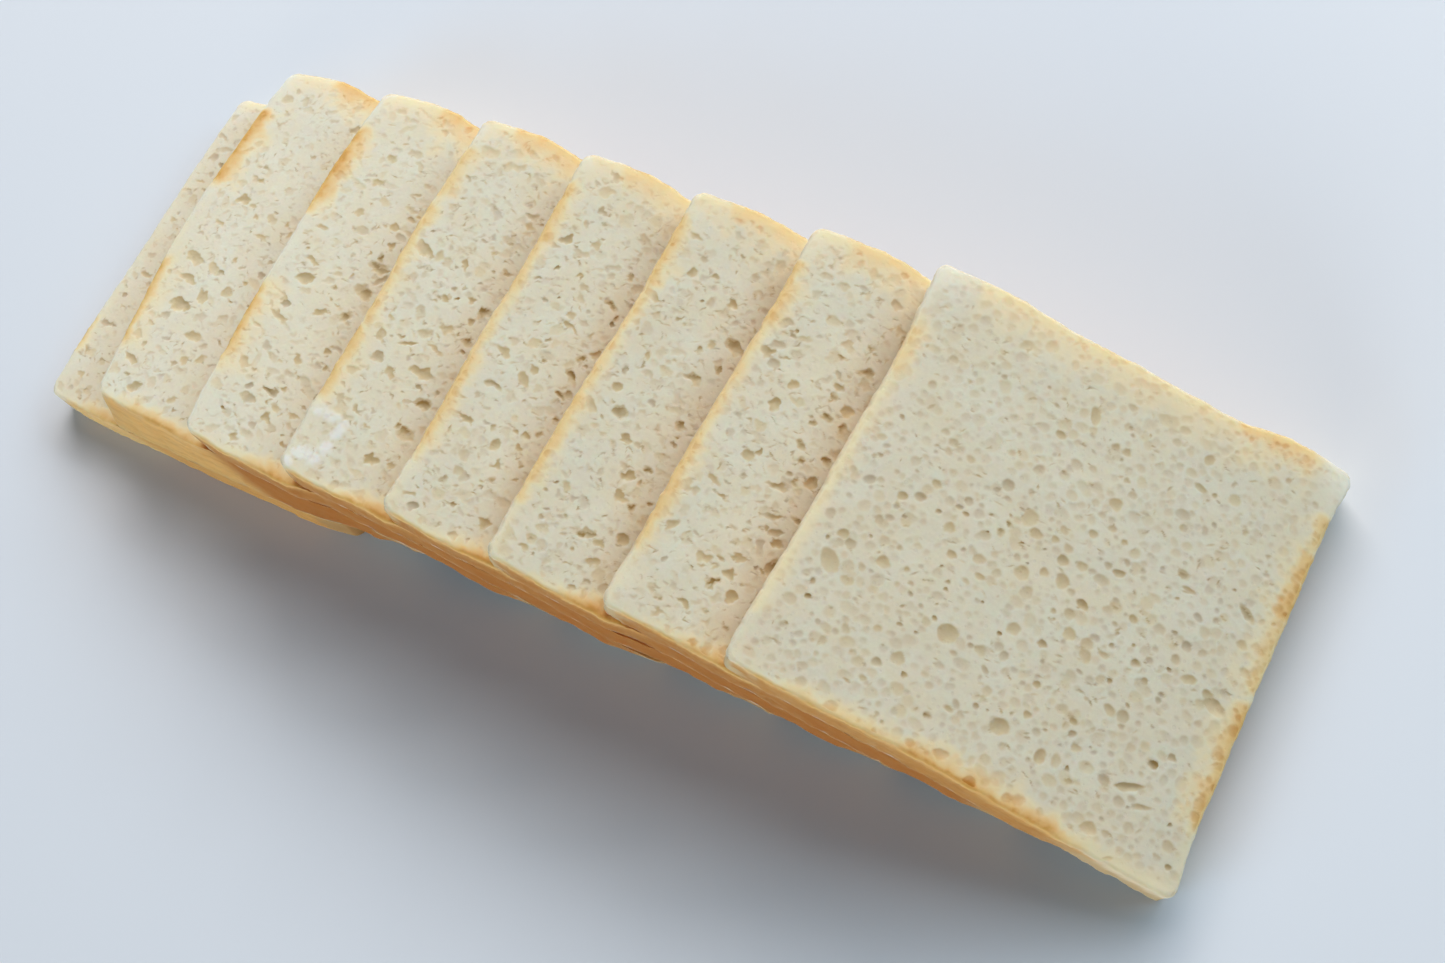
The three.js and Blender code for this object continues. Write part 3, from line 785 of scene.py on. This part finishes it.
class Slice:
    """A slice while it is made. Each point of its mesh has a place s along the slice, y across it
    and height above its underside, in millimetres, and lies on a ring: 0 is the cut face, and the
    others go round the rim, down the wall and under it. share_x, share_y and share_up say how
    far along, across and up it lies, from 0 to 1."""

    def __init__(self, index):
        self.index = index
        self.piece = SLICES[index]
        self.name = self.piece["name"]
        self.first = index == 0
        self.last = index == len(SLICES) - 1
        self.next_edge = EVERYWHERE if self.last else SLICES[index + 1]["foot"] - self.piece["foot"]
        self.bare = self.next_edge + COVER_MARGIN
        self.lay = bend(self.piece)
        self.rng = np.random.default_rng(CRUMB_SEED + index)

    def spread_cells(self):
        """Makes the box of cells, and spreads its points along the slice."""
        piece = self.piece
        fine = FINE_TOP if self.last else FINE
        column_t, column_inset = places(piece["long"], fine, self.bare)
        row_t, row_inset = places(piece["far"][0] - piece["near"][0], fine, EVERYWHERE)
        ring_inset, ring_share, ring_add = wall_profile()
        self.nx = len(column_t) - 1
        self.ny = len(row_t) - 1
        last_ring = len(ring_inset) - 1
        self.mesh = cell_box(self.nx, self.ny, last_ring)

        cells = np.empty(len(self.mesh.vertices) * 3, np.float32)
        self.mesh.vertices.foreach_get("co", cells)
        cells = cells.reshape(-1, 3).astype(float)
        i = cells[:, 0]
        j = cells[:, 1]
        self.ring = -cells[:, 2]
        self.face = self.ring < 0.5
        self.under = self.ring > last_ring - 0.5
        self.on_face = (np.rint(i[self.face]).astype(int), np.rint(j[self.face]).astype(int))

        a = by_number(i, column_t)
        b = by_number(j, row_t)
        self.share_x = (a - column_t[0]) / (1 - 2 * column_t[0])
        self.share_y = (b - row_t[0]) / (1 - 2 * row_t[0])
        self.share_up = by_number(self.ring, ring_share)
        self.add_up = by_number(self.ring, ring_add)
        self.inset = by_number(self.ring, ring_inset)
        self.side_inset = by_number(i, column_inset)
        end_inset = by_number(j, row_inset) + self.inset

        near, far, high, foot = outline_of(self.index)
        self.near_edge = near(a)
        self.far_edge = far(a)
        self.high_edge = high(b)
        self.foot_edge = foot(b)
        self.s = mix(self.high_edge + end_inset, self.foot_edge - end_inset, self.share_x)

    def press_rims(self):
        """Sets the points across and through the slice. Where the next slice lies on this one,
        or this one on the last, the rims are pressed flat and the near crust is one line."""
        covered = smooth(*COVERED, self.s - self.next_edge)
        carried = 0.0 if self.first else smooth(*CARRIED, self.piece["long"] - self.s)
        upper = self.ring < RIM_CELLS + 0.5
        squeeze = mix(1, PRESSED, np.where(upper, covered, carried))
        self.thick = thickness(self.piece, self.s)
        if not self.first:
            crust_y = np.interp(self.lay(self.s, 0.5 * self.thick)[0], *crust_line())
            self.near_edge = mix(self.near_edge, crust_y, covered)
        inset = self.side_inset + self.inset * squeeze
        self.y = mix(self.near_edge + inset, self.far_edge - inset, self.share_y)
        self.height = self.thick * self.share_up + self.add_up * squeeze

    def carve_face(self):
        """Cuts the pores and the fine relief into the cut face, on its own grid of points."""
        s = np.zeros((self.nx + 1, self.ny + 1))
        y = np.zeros(s.shape)
        s[self.on_face] = self.s[self.face]
        y[self.on_face] = self.y[self.face]
        rng = self.rng
        pores = named_pores(rng, self.name)
        small = scattered_pores(rng, self.piece, self.bare, pores)
        tears = scattered_tears(rng, self.piece, self.bare)
        bent_s, bent_y = torn_apart(rng, CRUMB[self.name]["warp"], s, y)
        column_s = s[:, self.ny // 2]
        row_y = y[self.nx // 2, :]
        pores = small + tears + pores
        depth, edge, tone, warm = pore_fields(pores, bent_s, bent_y, column_s, row_y)
        if not self.first:
            closed = 1 - smooth(*CLOSED, s - s[:1])
            depth *= 1 - CLOSED_DEPTH * closed
            tone *= 1 - CLOSED_TONE * closed
        smear = smear_field(rng, self.name, s, y)

        from_rim = np.minimum.reduce([s - s[:1], s[-1:] - s, y - y[:, :1], y[:, -1:] - y])
        inner = smooth(*INNER, from_rim)
        relief = ripple(rng, (s, y), *FACE_SWELL) * mix(SWELL_AT_RIM, 1, inner)
        relief += ripple(rng, (s, y), *FACE_LUMPS)
        relief += ripple(rng, (s, y), *FACE_GRAIN)
        relief -= depth * mix(0.5, 1, inner)
        relief += SMEAR_HEIGHT * smear * (1 + ripple(rng, (s, y), *SMEAR_LUMPS))
        self.height[self.face] += relief[self.on_face]
        self.drop = np.where(self.face, 0, self.thick - self.height)
        self.crumb = dict(pore_edge=edge, pore_shade=tone, pore_warm=warm, smear=smear)

    def settle(self):
        """Lets the near side sag onto the slice below, and shapes the lower edges that rest."""
        from_near = self.y - self.near_edge
        lower = 1 - self.share_up
        self.height -= room_below(self.index, self.s) * lower * (1 - smooth(*SAG_STRIP, from_near))
        if self.index == 1:
            flat_y, on_flat = flat_slice_edge(self.lay(self.s, 0.0)[0])
            self.y += (flat_y - self.near_edge) * lower * on_flat * smooth(*FLAT_STRIP, from_near)
        from_foot = self.foot_edge - self.s
        if self.last:
            self.s += TOE_OUT * lower * smooth(*TOE_FROM_FOOT, from_foot)
        elif not self.first:
            corner = smooth(*TUCK_FROM_FOOT, from_foot)
            corner *= smooth(*TUCK_FROM_NEAR, self.y - self.near_edge)
            self.y += TUCK * lower * corner

    def wrinkle_crust(self):
        """The crust's own fine waves, on the walls and fading in over the cut face."""
        x, z = self.lay(self.s, self.height)
        points = np.array([x, self.y, 2 * z])
        rng = np.random.default_rng(CRUMB_SEED - 1)
        push = ripple(rng, points, *CRUST_WAVES) + ripple(rng, points, *CRUST_WRINKLES)
        push *= ~self.under
        to_end = np.minimum(self.s - self.high_edge, self.foot_edge - self.s)
        to_side = np.minimum(self.y - self.near_edge, self.far_edge - self.y)
        self.s += np.sign(self.share_x - 0.5) * smooth(*CRUST_DEEP, to_end) * push
        self.y += np.sign(self.share_y - 0.5) * smooth(*CRUST_DEEP, to_side) * push

    def set_points(self):
        """Lays the points in the slice's bend, none below the table."""
        self.x, z = self.lay(self.s, self.height)
        points = np.stack([self.x - FAN_MIDDLE, self.y - ROW_MIDDLE, np.maximum(z, 0)], 1) * MM
        self.mesh.vertices.foreach_set("co", points.astype(np.float32).ravel())
        self.mesh.update()

    def put(self, name, values):
        layer = self.mesh.attributes.new(name, "FLOAT", "POINT")
        layer.data.foreach_set("value", values.astype(np.float32))

    def put_crumb(self):
        """Stores the crumb's fields, which the material reads. They end with the cut face."""
        for name, field in self.crumb.items():
            values = np.full(len(self.s), NO_PORE if name == "pore_edge" else 0.0)
            values[self.face] = field[self.on_face]
            self.put(name, values)

    def put_crust(self):
        """Stores how golden the crust is, where its far corners get a painted glow, and where painted
        shade goes beside and under the next slice and on rims that face the window, which the material
        reads.
        """
        inward = dict(high=self.s - self.high_edge, foot=self.foot_edge - self.s,
                      near=self.y - self.near_edge, far=self.far_edge - self.y)
        self.put("gold", gold_of(self.rng, self.piece, self.s, self.y, inward, self.drop))
        # painted glow near the far corners
        self.put("pale", far_corner_glow_of(inward))
        # painted shade beside the next slice's edge
        self.put("valley_shade", shade_under_next(self.index, self.x, self.y))
        past_next = self.s - self.next_edge
        # the face's covered rim takes the wall's colour and its painted shade
        hidden_rim = smooth(*HIDDEN_RIM, past_next) * smooth(*HIDDEN_STRIP, inward["near"])
        skin = smooth(0.0, RIM_CELLS, self.ring) * ~self.under
        self.put("skin", np.where(self.face, hidden_rim, skin))
        near_wall = smooth(*NEAR_WALL, inward["near"]) * smooth(*BELOW_RIM, self.drop)
        near_wall *= smooth(*NEAR_BROWN_END, self.s)
        self.put("drop", self.drop + NEAR_BROWN * near_wall)
        # painted shade on the rims that face the window
        facing = [share * (inward[side] < ON_A_SIDE) for side, share in FACES_WINDOW.items()]
        on_rim = smooth(-0.5, 2.5, self.ring) * smooth(4.0, 1.2, self.drop)
        self.put("window_rim_shade", np.maximum.reduce(facing) * on_rim)
        self.put("along", self.s * MM)
        # painted shade on the wall past the next slice's edge
        covered_shading = smooth(*COVERED_SHADE_SPAN, past_next - COVERED_SHADE_LAG * self.drop)
        self.put("covered_shade", np.where(self.face, hidden_rim, covered_shading))

    def finish(self):
        """The dressed piece: its object, its material and the node that it stands for."""
        name = self.name + "_bread"
        self.mesh.name = name
        self.mesh.polygons.foreach_set("use_smooth", np.ones(len(self.mesh.polygons), bool))
        lower = LOWER_WALL.get(self.name, DARK_LOWER_WALL)
        covered_shade = SLICE_COVERED_SHADE.get(self.name, COVERED_WALL_SHADE)
        look = bread_material(self.name + "_crumb_and_crust", DULL[self.name], lower, covered_shade)
        self.mesh.materials.append(look)
        bread = bpy.data.objects.new(name, self.mesh)
        bpy.context.scene.collection.objects.link(bread)
        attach(bread, "root")
        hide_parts(self.name)


def bread_slice(index):
    """One slice, from its box of cells to the dressed piece."""
    made = Slice(index)
    made.spread_cells()
    made.press_rims()
    made.carve_face()
    made.settle()
    made.wrinkle_crust()
    made.set_points()
    made.put_crumb()
    made.put_crust()
    made.finish()


def patch(place, start, end, soft):
    """1 between two places, fading off over soft on both sides of each."""
    return smooth(start - soft, start + soft, place) * (1 - smooth(end - soft, end + soft, place))


def gold_of(rng, piece, s, y, inward, drop):
    """How golden the crust is at each point, from the patches named for each side."""
    sides = GOLD.get(piece["name"], LEANING)
    wander = 1 + ripple(rng, (s, y), *REACH_WAVES) + ripple(rng, (s, y), *REACH_JAGS)
    wander = np.maximum(wander, 0.3)
    drift = ripple(rng, (s, y), *PATCH_DRIFT)
    on_wall = (s, y, WALL_STRETCH * drop)
    wall_drift = ripple(rng, on_wall, *WALL_DRIFT) + ripple(rng, on_wall, *WALL_JAGS)
    deeper = np.maximum(drop + smooth(0.3, 2.5, drop) * ripple(rng, on_wall, *WALL_SWAY), 0)
    drift += smooth(0.4, 3.0, drop) * wall_drift
    total = np.zeros(len(s))
    for side, along in (("high", y), ("foot", y), ("near", s), ("far", s)):
        away = np.maximum(inward[side], 0) / wander
        for start, end, strength, width in sides[side]:
            gold = strength * patch(along + drift, start, end, SOFT_END[side])
            total = np.maximum(total, gold * np.exp(-(away / width) ** FADE[side]))
        if side in WALL_GOLD:
            wall = WALL_STRENGTH * patch(along + wall_drift, *WALL_GOLD[side], WALL_END)
            wall *= smooth(*WALL_START[side], deeper)
            if side == "foot":
                wall *= 1 - FOOT_PALER * smooth(*FOOT_PALE, drop)
            total = np.maximum(total, np.where(inward[side] < ON_WALL, wall, 0))
    return np.clip(total, 0, 1)


def far_corner_glow_of(inward):
    """How whitish the crumb is near the two far corners, a painted glow where window light shines through
    them.
    """
    corner = np.hypot(np.minimum(inward["high"], inward["foot"]), inward["far"])
    return np.exp(-(corner / CORNER_GLOW_REACH) ** 2)


def shade_under_next(index, x, y):
    """How close each point lies to the edge of the slice above, 1 at the edge and fading off. There the
    material paints shade, warmed as by light bounced off the crust.
    """
    if index == len(SLICES) - 1:
        return np.zeros(len(x))
    above = SLICES[index + 1]
    high = outline_of(index + 1)[2]
    share = np.clip((y - above["near"][0]) / (above["far"][0] - above["near"][0]), 0, 1)
    edge_x, _ = bend(above)(high(share), above["thick"][0])
    return np.exp(-np.maximum(edge_x - x, 0) / VALLEY_SHADE_FADE)


# ---- materials ---------------------------------------------------------------------------


def shade(red, green, blue):
    """A colour given as it looks on a screen, 0 to 255, made linear."""
    def line(v):
        v /= 255
        return v / 12.92 if v <= 0.04045 else ((v + 0.055) / 1.055) ** 2.4
    return (line(red), line(green), line(blue), 1.0)


CRUMB_WHITE = shade(239, 235, 214)
CRUMB_CREAM = shade(240, 232, 206)
CRUMB_SPECK = shade(238, 225, 206)
# painted shade in the fine bubbles
FINE_BUBBLE_SHADE = shade(224, 213, 196)
FINE_GRAIN = shade(214, 203, 180)
DULLED = shade(252, 250, 248)           # multiplied in
# painted glow in the far corners, where window light shines through
CORNER_GLOW = shade(246, 244, 230)
TORN_WHITE = shade(250, 248, 242)
VALLEY_SHADE_AND_BOUNCE = shade(229, 221, 207)        # painted shade beside the next slice, warmed as by light bounced off its crust; multiplied in, as are the pores' colours
# Painted shade inside the pores, faint to deep and cool to warm; multiplied in.
FAINT_COOL = shade(244, 239, 238)
FAINT_WARM = shade(250, 240, 220)
DEEP_COOL = shade(186, 168, 138)
DEEP_WARM = shade(188, 157, 101)

# The rim, from the first hint of gold to the full tone.
RIM_TINTS = [((0.0, 0.35), shade(247, 232, 196)), ((0.25, 0.6), shade(248, 219, 168)),
             ((0.5, 0.85), shade(240, 200, 138)), ((0.74, 1.0), shade(228, 174, 102))]
RIM_BLOTCH = shade(212, 162, 90)
RIM_PORE_SHADE = shade(224, 202, 168)         # painted shade in the pores, multiplied in
WINDOW_RIM_SHADE = shade(204, 199, 195)         # painted shade, multiplied in where the rim faces the window to dim its lit look

# The wall: golden at its top, darker brown lower down, but less so on the flat slice.
WALL_TOP = shade(243, 193, 119)
DARK_LOWER_WALL = shade(185, 121, 61)
LOWER_WALL = {"slice_1": shade(240, 194, 122), "slice_2": shade(238, 184, 110),
              "slice_8": shade(200, 139, 75)}
COVERED_WALL_SHADE = shade(180, 111, 54)            # painted shade on the wall under the next slice
# lighter painted shade under the next slice on the flat slice
SLICE_COVERED_SHADE = {"slice_1": shade(230, 168, 94)}
WALL_STREAK = shade(176, 108, 52)
PALE_WALL_TOP = shade(238, 226, 196)
# the pale wall darker toward its lower edge: painted shade where it meets what it rests on
PALE_WALL_SHADED_FOOT = shade(210, 185, 142)
# painted shade on the pale wall under the next slice
PALE_COVERED_SHADE = shade(184, 146, 98)
TABLE_TOP = shade(232, 236, 242)


class Maker:
    """Short calls that add nodes to one material. A value is a number, a colour or a socket."""

    def __init__(self, name):
        self.material = bpy.data.materials.new(name)
        self.material.use_nodes = True
        self.tree = self.material.node_tree
        self.tree.nodes.clear()

    def add(self, kind, values=None, **settings):
        node = self.tree.nodes.new(kind)
        for key, value in settings.items():
            setattr(node, key, value)
        for key, value in (values or {}).items():
            self.give(node.inputs[key], value)
        return node

    def give(self, socket, value):
        if isinstance(value, bpy.types.NodeSocket):
            self.tree.links.new(value, socket)
        else:
            socket.default_value = value

    def attribute(self, name):
        return self.add("ShaderNodeAttribute", attribute_name=name).outputs["Fac"]

    def math(self, operation, a, b=0.0, c=0.0, clamp=False):
        node = self.add("ShaderNodeMath", {0: a, 1: b, 2: c}, operation=operation, use_clamp=clamp)
        return node.outputs[0]

    def times(self, a, b):
        return self.math("MULTIPLY", a, b)

    def ramp(self, value, low, high, start=0.0, end=1.0):
        values = {"Value": value, "From Min": low, "From Max": high, "To Min": start, "To Max": end}
        return self.add("ShaderNodeMapRange", values, interpolation_type="SMOOTHSTEP").outputs["Result"]

    def blend(self, factor, a, b, kind="MIX"):
        node = self.add("ShaderNodeMix", {"Factor": factor}, data_type="RGBA", blend_type=kind)
        self.give(node.inputs[6], a)
        self.give(node.inputs[7], b)
        return node.outputs[2]

    def noise(self, where, size, detail=3.0, rough=0.6):
        values = {"Vector": where, "Scale": 1 / size, "Detail": detail, "Roughness": rough}
        return self.add("ShaderNodeTexNoise", values).outputs["Fac"]

    def surface(self, values):
        """The shader, joined to the material's output."""
        shader = self.add("ShaderNodeBsdfPrincipled", values)
        out = self.add("ShaderNodeOutputMaterial")
        self.tree.links.new(shader.outputs[0], out.inputs["Surface"])
        return self.material


def fine_bubbles(make, where, size, least, most):
    """Round cut bubbles of mixed size, one to a cell, as soft discs. The crumb is painted darker in them,
    as painted shade.
    """
    node = make.add("ShaderNodeTexVoronoi", {"Vector": where, "Scale": 1 / size, "Randomness": 1.0})
    parts = make.add("ShaderNodeSeparateColor", {"Color": node.outputs["Color"]})
    radius = make.math("MULTIPLY_ADD", parts.outputs["Red"], most - least, least)
    room = make.math("SUBTRACT", radius, node.outputs["Distance"])
    return make.ramp(room, 0.0, 0.09)


def crumb_colour(make, where, dull):
    """The cut face: mottled crumb, its fine bubbles, and the pores cut into the mesh. Bubbles and pores
    are painted darker and warmer inside, as painted shade.
    """
    small = fine_bubbles(make, where, 0.0019, 0.02, 0.36)
    cloud = make.noise(where, 0.011, rough=0.5)
    speck = make.noise(where, 0.0030)
    grain = make.noise(where, 0.0009)
    crumb = make.blend(make.ramp(cloud, 0.36, 0.64), CRUMB_WHITE, CRUMB_CREAM)
    crumb = make.blend(make.ramp(speck, 0.35, 0.65, 0.0, 0.35), crumb, CRUMB_SPECK)
    # painted shade in the fine bubbles
    crumb = make.blend(make.times(small, 0.22), crumb, FINE_BUBBLE_SHADE)
    crumb = make.blend(make.ramp(grain, 0.35, 0.75, 0.0, 0.14), crumb, FINE_GRAIN)
    crumb = make.blend(dull, crumb, DULLED, "MULTIPLY")

    # painted shade: the pores darker and warmer inside than the crumb
    tone = make.attribute("pore_shade")
    warm = make.attribute("pore_warm")
    faint = make.blend(warm, FAINT_COOL, FAINT_WARM)
    deep = make.blend(warm, DEEP_COOL, DEEP_WARM)
    pore_shade_colour = make.blend(make.math("POWER", tone, 1.4), faint, deep)
    softness = make.math("MULTIPLY_ADD", tone, -0.80, 1.10)
    away = make.math("MULTIPLY_ADD", grain, 0.3, make.attribute("pore_edge"))
    inside = make.ramp(make.math("DIVIDE", away, softness), 0.55, -0.45)
    hole = make.times(inside, make.ramp(tone, 0.0, 0.3, 0.6, 1.0))
    crumb = make.blend(hole, crumb, pore_shade_colour, "MULTIPLY")
    # painted glow: the far corners are whiter
    crumb = make.blend(make.times(make.attribute("pale"), 0.8), crumb, CORNER_GLOW)
    crumb = make.blend(make.times(make.attribute("smear"), 0.72), crumb, TORN_WHITE)
    # painted shade beside the next slice's edge
    crumb = make.blend(make.attribute("valley_shade"), crumb, VALLEY_SHADE_AND_BOUNCE, "MULTIPLY")
    return crumb, hole, small, grain


def rim_colour(make, crumb, hole, gold, patchy):
    """Gold that spreads from the crust over the cut face, with painted shade darker in the pores."""
    tint = crumb
    for (start, full), colour in RIM_TINTS:
        tint = make.blend(make.ramp(gold, start, full), tint, colour)
    blotch = make.times(make.ramp(patchy, 0.46, 0.64, 0.0, 0.7), make.ramp(gold, 0.8, 1.0))
    tint = make.blend(blotch, tint, RIM_BLOTCH)
    # painted shade in the pores under the gold
    darker = make.blend(1.0, tint, RIM_PORE_SHADE, "MULTIPLY")
    return make.blend(make.times(hole, gold), tint, darker)


def wall_colour(make, gold, lower, covered_shade):
    """The crust's outer side: golden with fine lengthwise streaks, pale at the corners. Painted shade
    darkens the pale wall lower down and the wall where the next slice covers it.
    """
    drop = make.attribute("drop")
    under = make.attribute("covered_shade")
    lengthwise = {0: make.times(make.attribute("along"), 0.14), 1: make.times(drop, 0.001)}
    streak = make.noise(make.add("ShaderNodeCombineXYZ", lengthwise).outputs[0], 0.0016)
    golden = make.blend(make.ramp(drop, 2.5, 11.0), WALL_TOP, lower)
    # painted shade where the next slice covers the wall
    golden = make.blend(under, golden, covered_shade)
    golden = make.blend(make.ramp(streak, 0.35, 0.8, 0.0, 0.40), golden, WALL_STREAK)
    # painted shade darkens the pale wall lower down
    pale = make.blend(make.ramp(drop, 1.0, 8.0), PALE_WALL_TOP, PALE_WALL_SHADED_FOOT)
    pale = make.blend(under, pale, PALE_COVERED_SHADE)
    return make.blend(make.ramp(gold, 0.0, 1.15), pale, golden)


def bread_material(name, dull, lower, covered_shade):
    """Crumb on the cut face, crust on the wall, and a soft matt surface that light sinks into."""
    make = Maker(name)
    where = make.add("ShaderNodeTexCoord").outputs["Object"]
    crumb, hole, small, grain = crumb_colour(make, where, dull)
    patchy = make.noise(where, 0.004)
    uneven = make.ramp(patchy, 0.3, 0.7, 0.88, 1.05)
    gold = make.math("MULTIPLY", make.attribute("gold"), uneven, clamp=True)
    rim = rim_colour(make, crumb, hole, gold, patchy)
    colour = make.blend(make.attribute("skin"), rim, wall_colour(make, gold, lower, covered_shade))
    # painted shade dims the rims that face the window
    colour = make.blend(make.attribute("window_rim_shade"), colour, WINDOW_RIM_SHADE, "MULTIPLY")
    relief = make.math("MULTIPLY_ADD", grain, 0.5, make.times(small, -0.5))
    bump = make.add("ShaderNodeBump", {"Strength": 0.35, "Distance": 0.00022, "Height": relief})
    return make.surface({
        "Base Color": colour, "Normal": bump.outputs[0], "Roughness": 0.95, "Specular IOR Level": 0.08,
        "Subsurface Weight": 0.7, "Subsurface Radius": (1.0, 0.75, 0.55), "Subsurface Scale": 0.006,
    })


def table_material():
    make = Maker("pale_table")
    return make.surface({"Base Color": TABLE_TOP, "Roughness": 0.7, "Specular IOR Level": 0.15})


# ---- stage --------------------------------------------------------------------------------

CAMERA_PLACE = (0.22896, -0.13949, 0.48373)
CAMERA_HEADING = 146.013    # degrees from +X, the way it looks
CAMERA_PITCH = 63.41        # degrees below level
CAMERA_ROLL = 31.1          # degrees
FRAME_WIDTH = 36            # millimetres
LENS = 45.736               # for that frame
TABLE_REACH = 4             # metres from the middle

LIGHT_DISTANCE = 3.0
# A broad window behind the loaf, and the room's faint light from the front:
# heading and rise in degrees, size, power, colour.
LIGHTS = [
    ("window_left", 120, 32, (1.8, 1.2), 53, (1.0, 0.94, 0.90)),
    ("window_middle", 80, 32, (1.8, 1.2), 38, (0.86, 0.93, 1.0)),
    ("window_right", 40, 32, (1.8, 1.2), 24, (0.55, 0.82, 1.0)),
    ("window_top", 105, 56, (1.8, 1.2), 20, (1.0, 0.93, 0.88)),
    ("room", 240, 22, (1.6, 1.2), 26, (0.38, 0.70, 1.0)),
    ("room_low", 280, 10, (1.6, 1.0), 34, (1.0, 0.84, 0.62)),
]
ROOM_GLOW = 0.005


def toward(heading, rise):
    """The direction of a heading and a rise above level, both in degrees."""
    heading = math.radians(heading)
    rise = math.radians(rise)
    return Vector((math.cos(rise) * math.cos(heading), math.cos(rise) * math.sin(heading), math.sin(rise)))


def place_camera():
    forward = toward(CAMERA_HEADING, -CAMERA_PITCH)
    level = forward.cross(Vector((0, 0, 1))).normalized()
    right = Matrix.Rotation(math.radians(CAMERA_ROLL), 3, forward) @ level
    turn = Matrix((right, right.cross(forward), -forward)).transposed().to_4x4()
    camera = bpy.data.objects.new("camera", bpy.data.cameras.new("camera"))
    camera.data.lens = LENS
    camera.data.sensor_width = FRAME_WIDTH
    camera.data.clip_start = 0.01
    camera.matrix_world = Matrix.Translation(CAMERA_PLACE) @ turn
    bpy.context.scene.collection.objects.link(camera)
    bpy.context.scene.camera = camera


def lay_floor():
    bm = bmesh.new()
    bmesh.ops.create_grid(bm, x_segments=8, y_segments=8, size=TABLE_REACH)
    mesh = bpy.data.meshes.new("table_top")
    bm.to_mesh(mesh)
    bm.free()
    mesh.materials.append(table_material())
    floor = bpy.data.objects.new("table_top", mesh)
    bpy.context.scene.collection.objects.link(floor)


def hang_light(name, heading, rise, size, power, colour):
    """A soft light that looks at the middle of the table from a heading and a rise."""
    light = bpy.data.lights.new(name, "AREA")
    light.shape = "RECTANGLE"
    light.size, light.size_y = size
    light.energy = power
    light.color = colour
    lamp = bpy.data.objects.new(name, light)
    way = toward(heading, rise)
    aim = (-way).to_track_quat("-Z", "Y").to_matrix().to_4x4()
    lamp.matrix_world = Matrix.Translation(way * LIGHT_DISTANCE) @ aim
    bpy.context.scene.collection.objects.link(lamp)


def light_scene():
    world = bpy.data.worlds.new("soft_room")
    world.use_nodes = True
    sky = world.node_tree.nodes["Background"]
    sky.inputs["Color"].default_value = (1.0, 1.0, 1.0, 1.0)
    sky.inputs["Strength"].default_value = ROOM_GLOW
    bpy.context.scene.world = world
    for light in LIGHTS:
        hang_light(*light)
    view = bpy.context.scene.view_settings
    view.view_transform = "Standard"
    view.look = "None"


place_camera()
lay_floor()
light_scene()
for number in range(len(SLICES)):
    bread_slice(number)
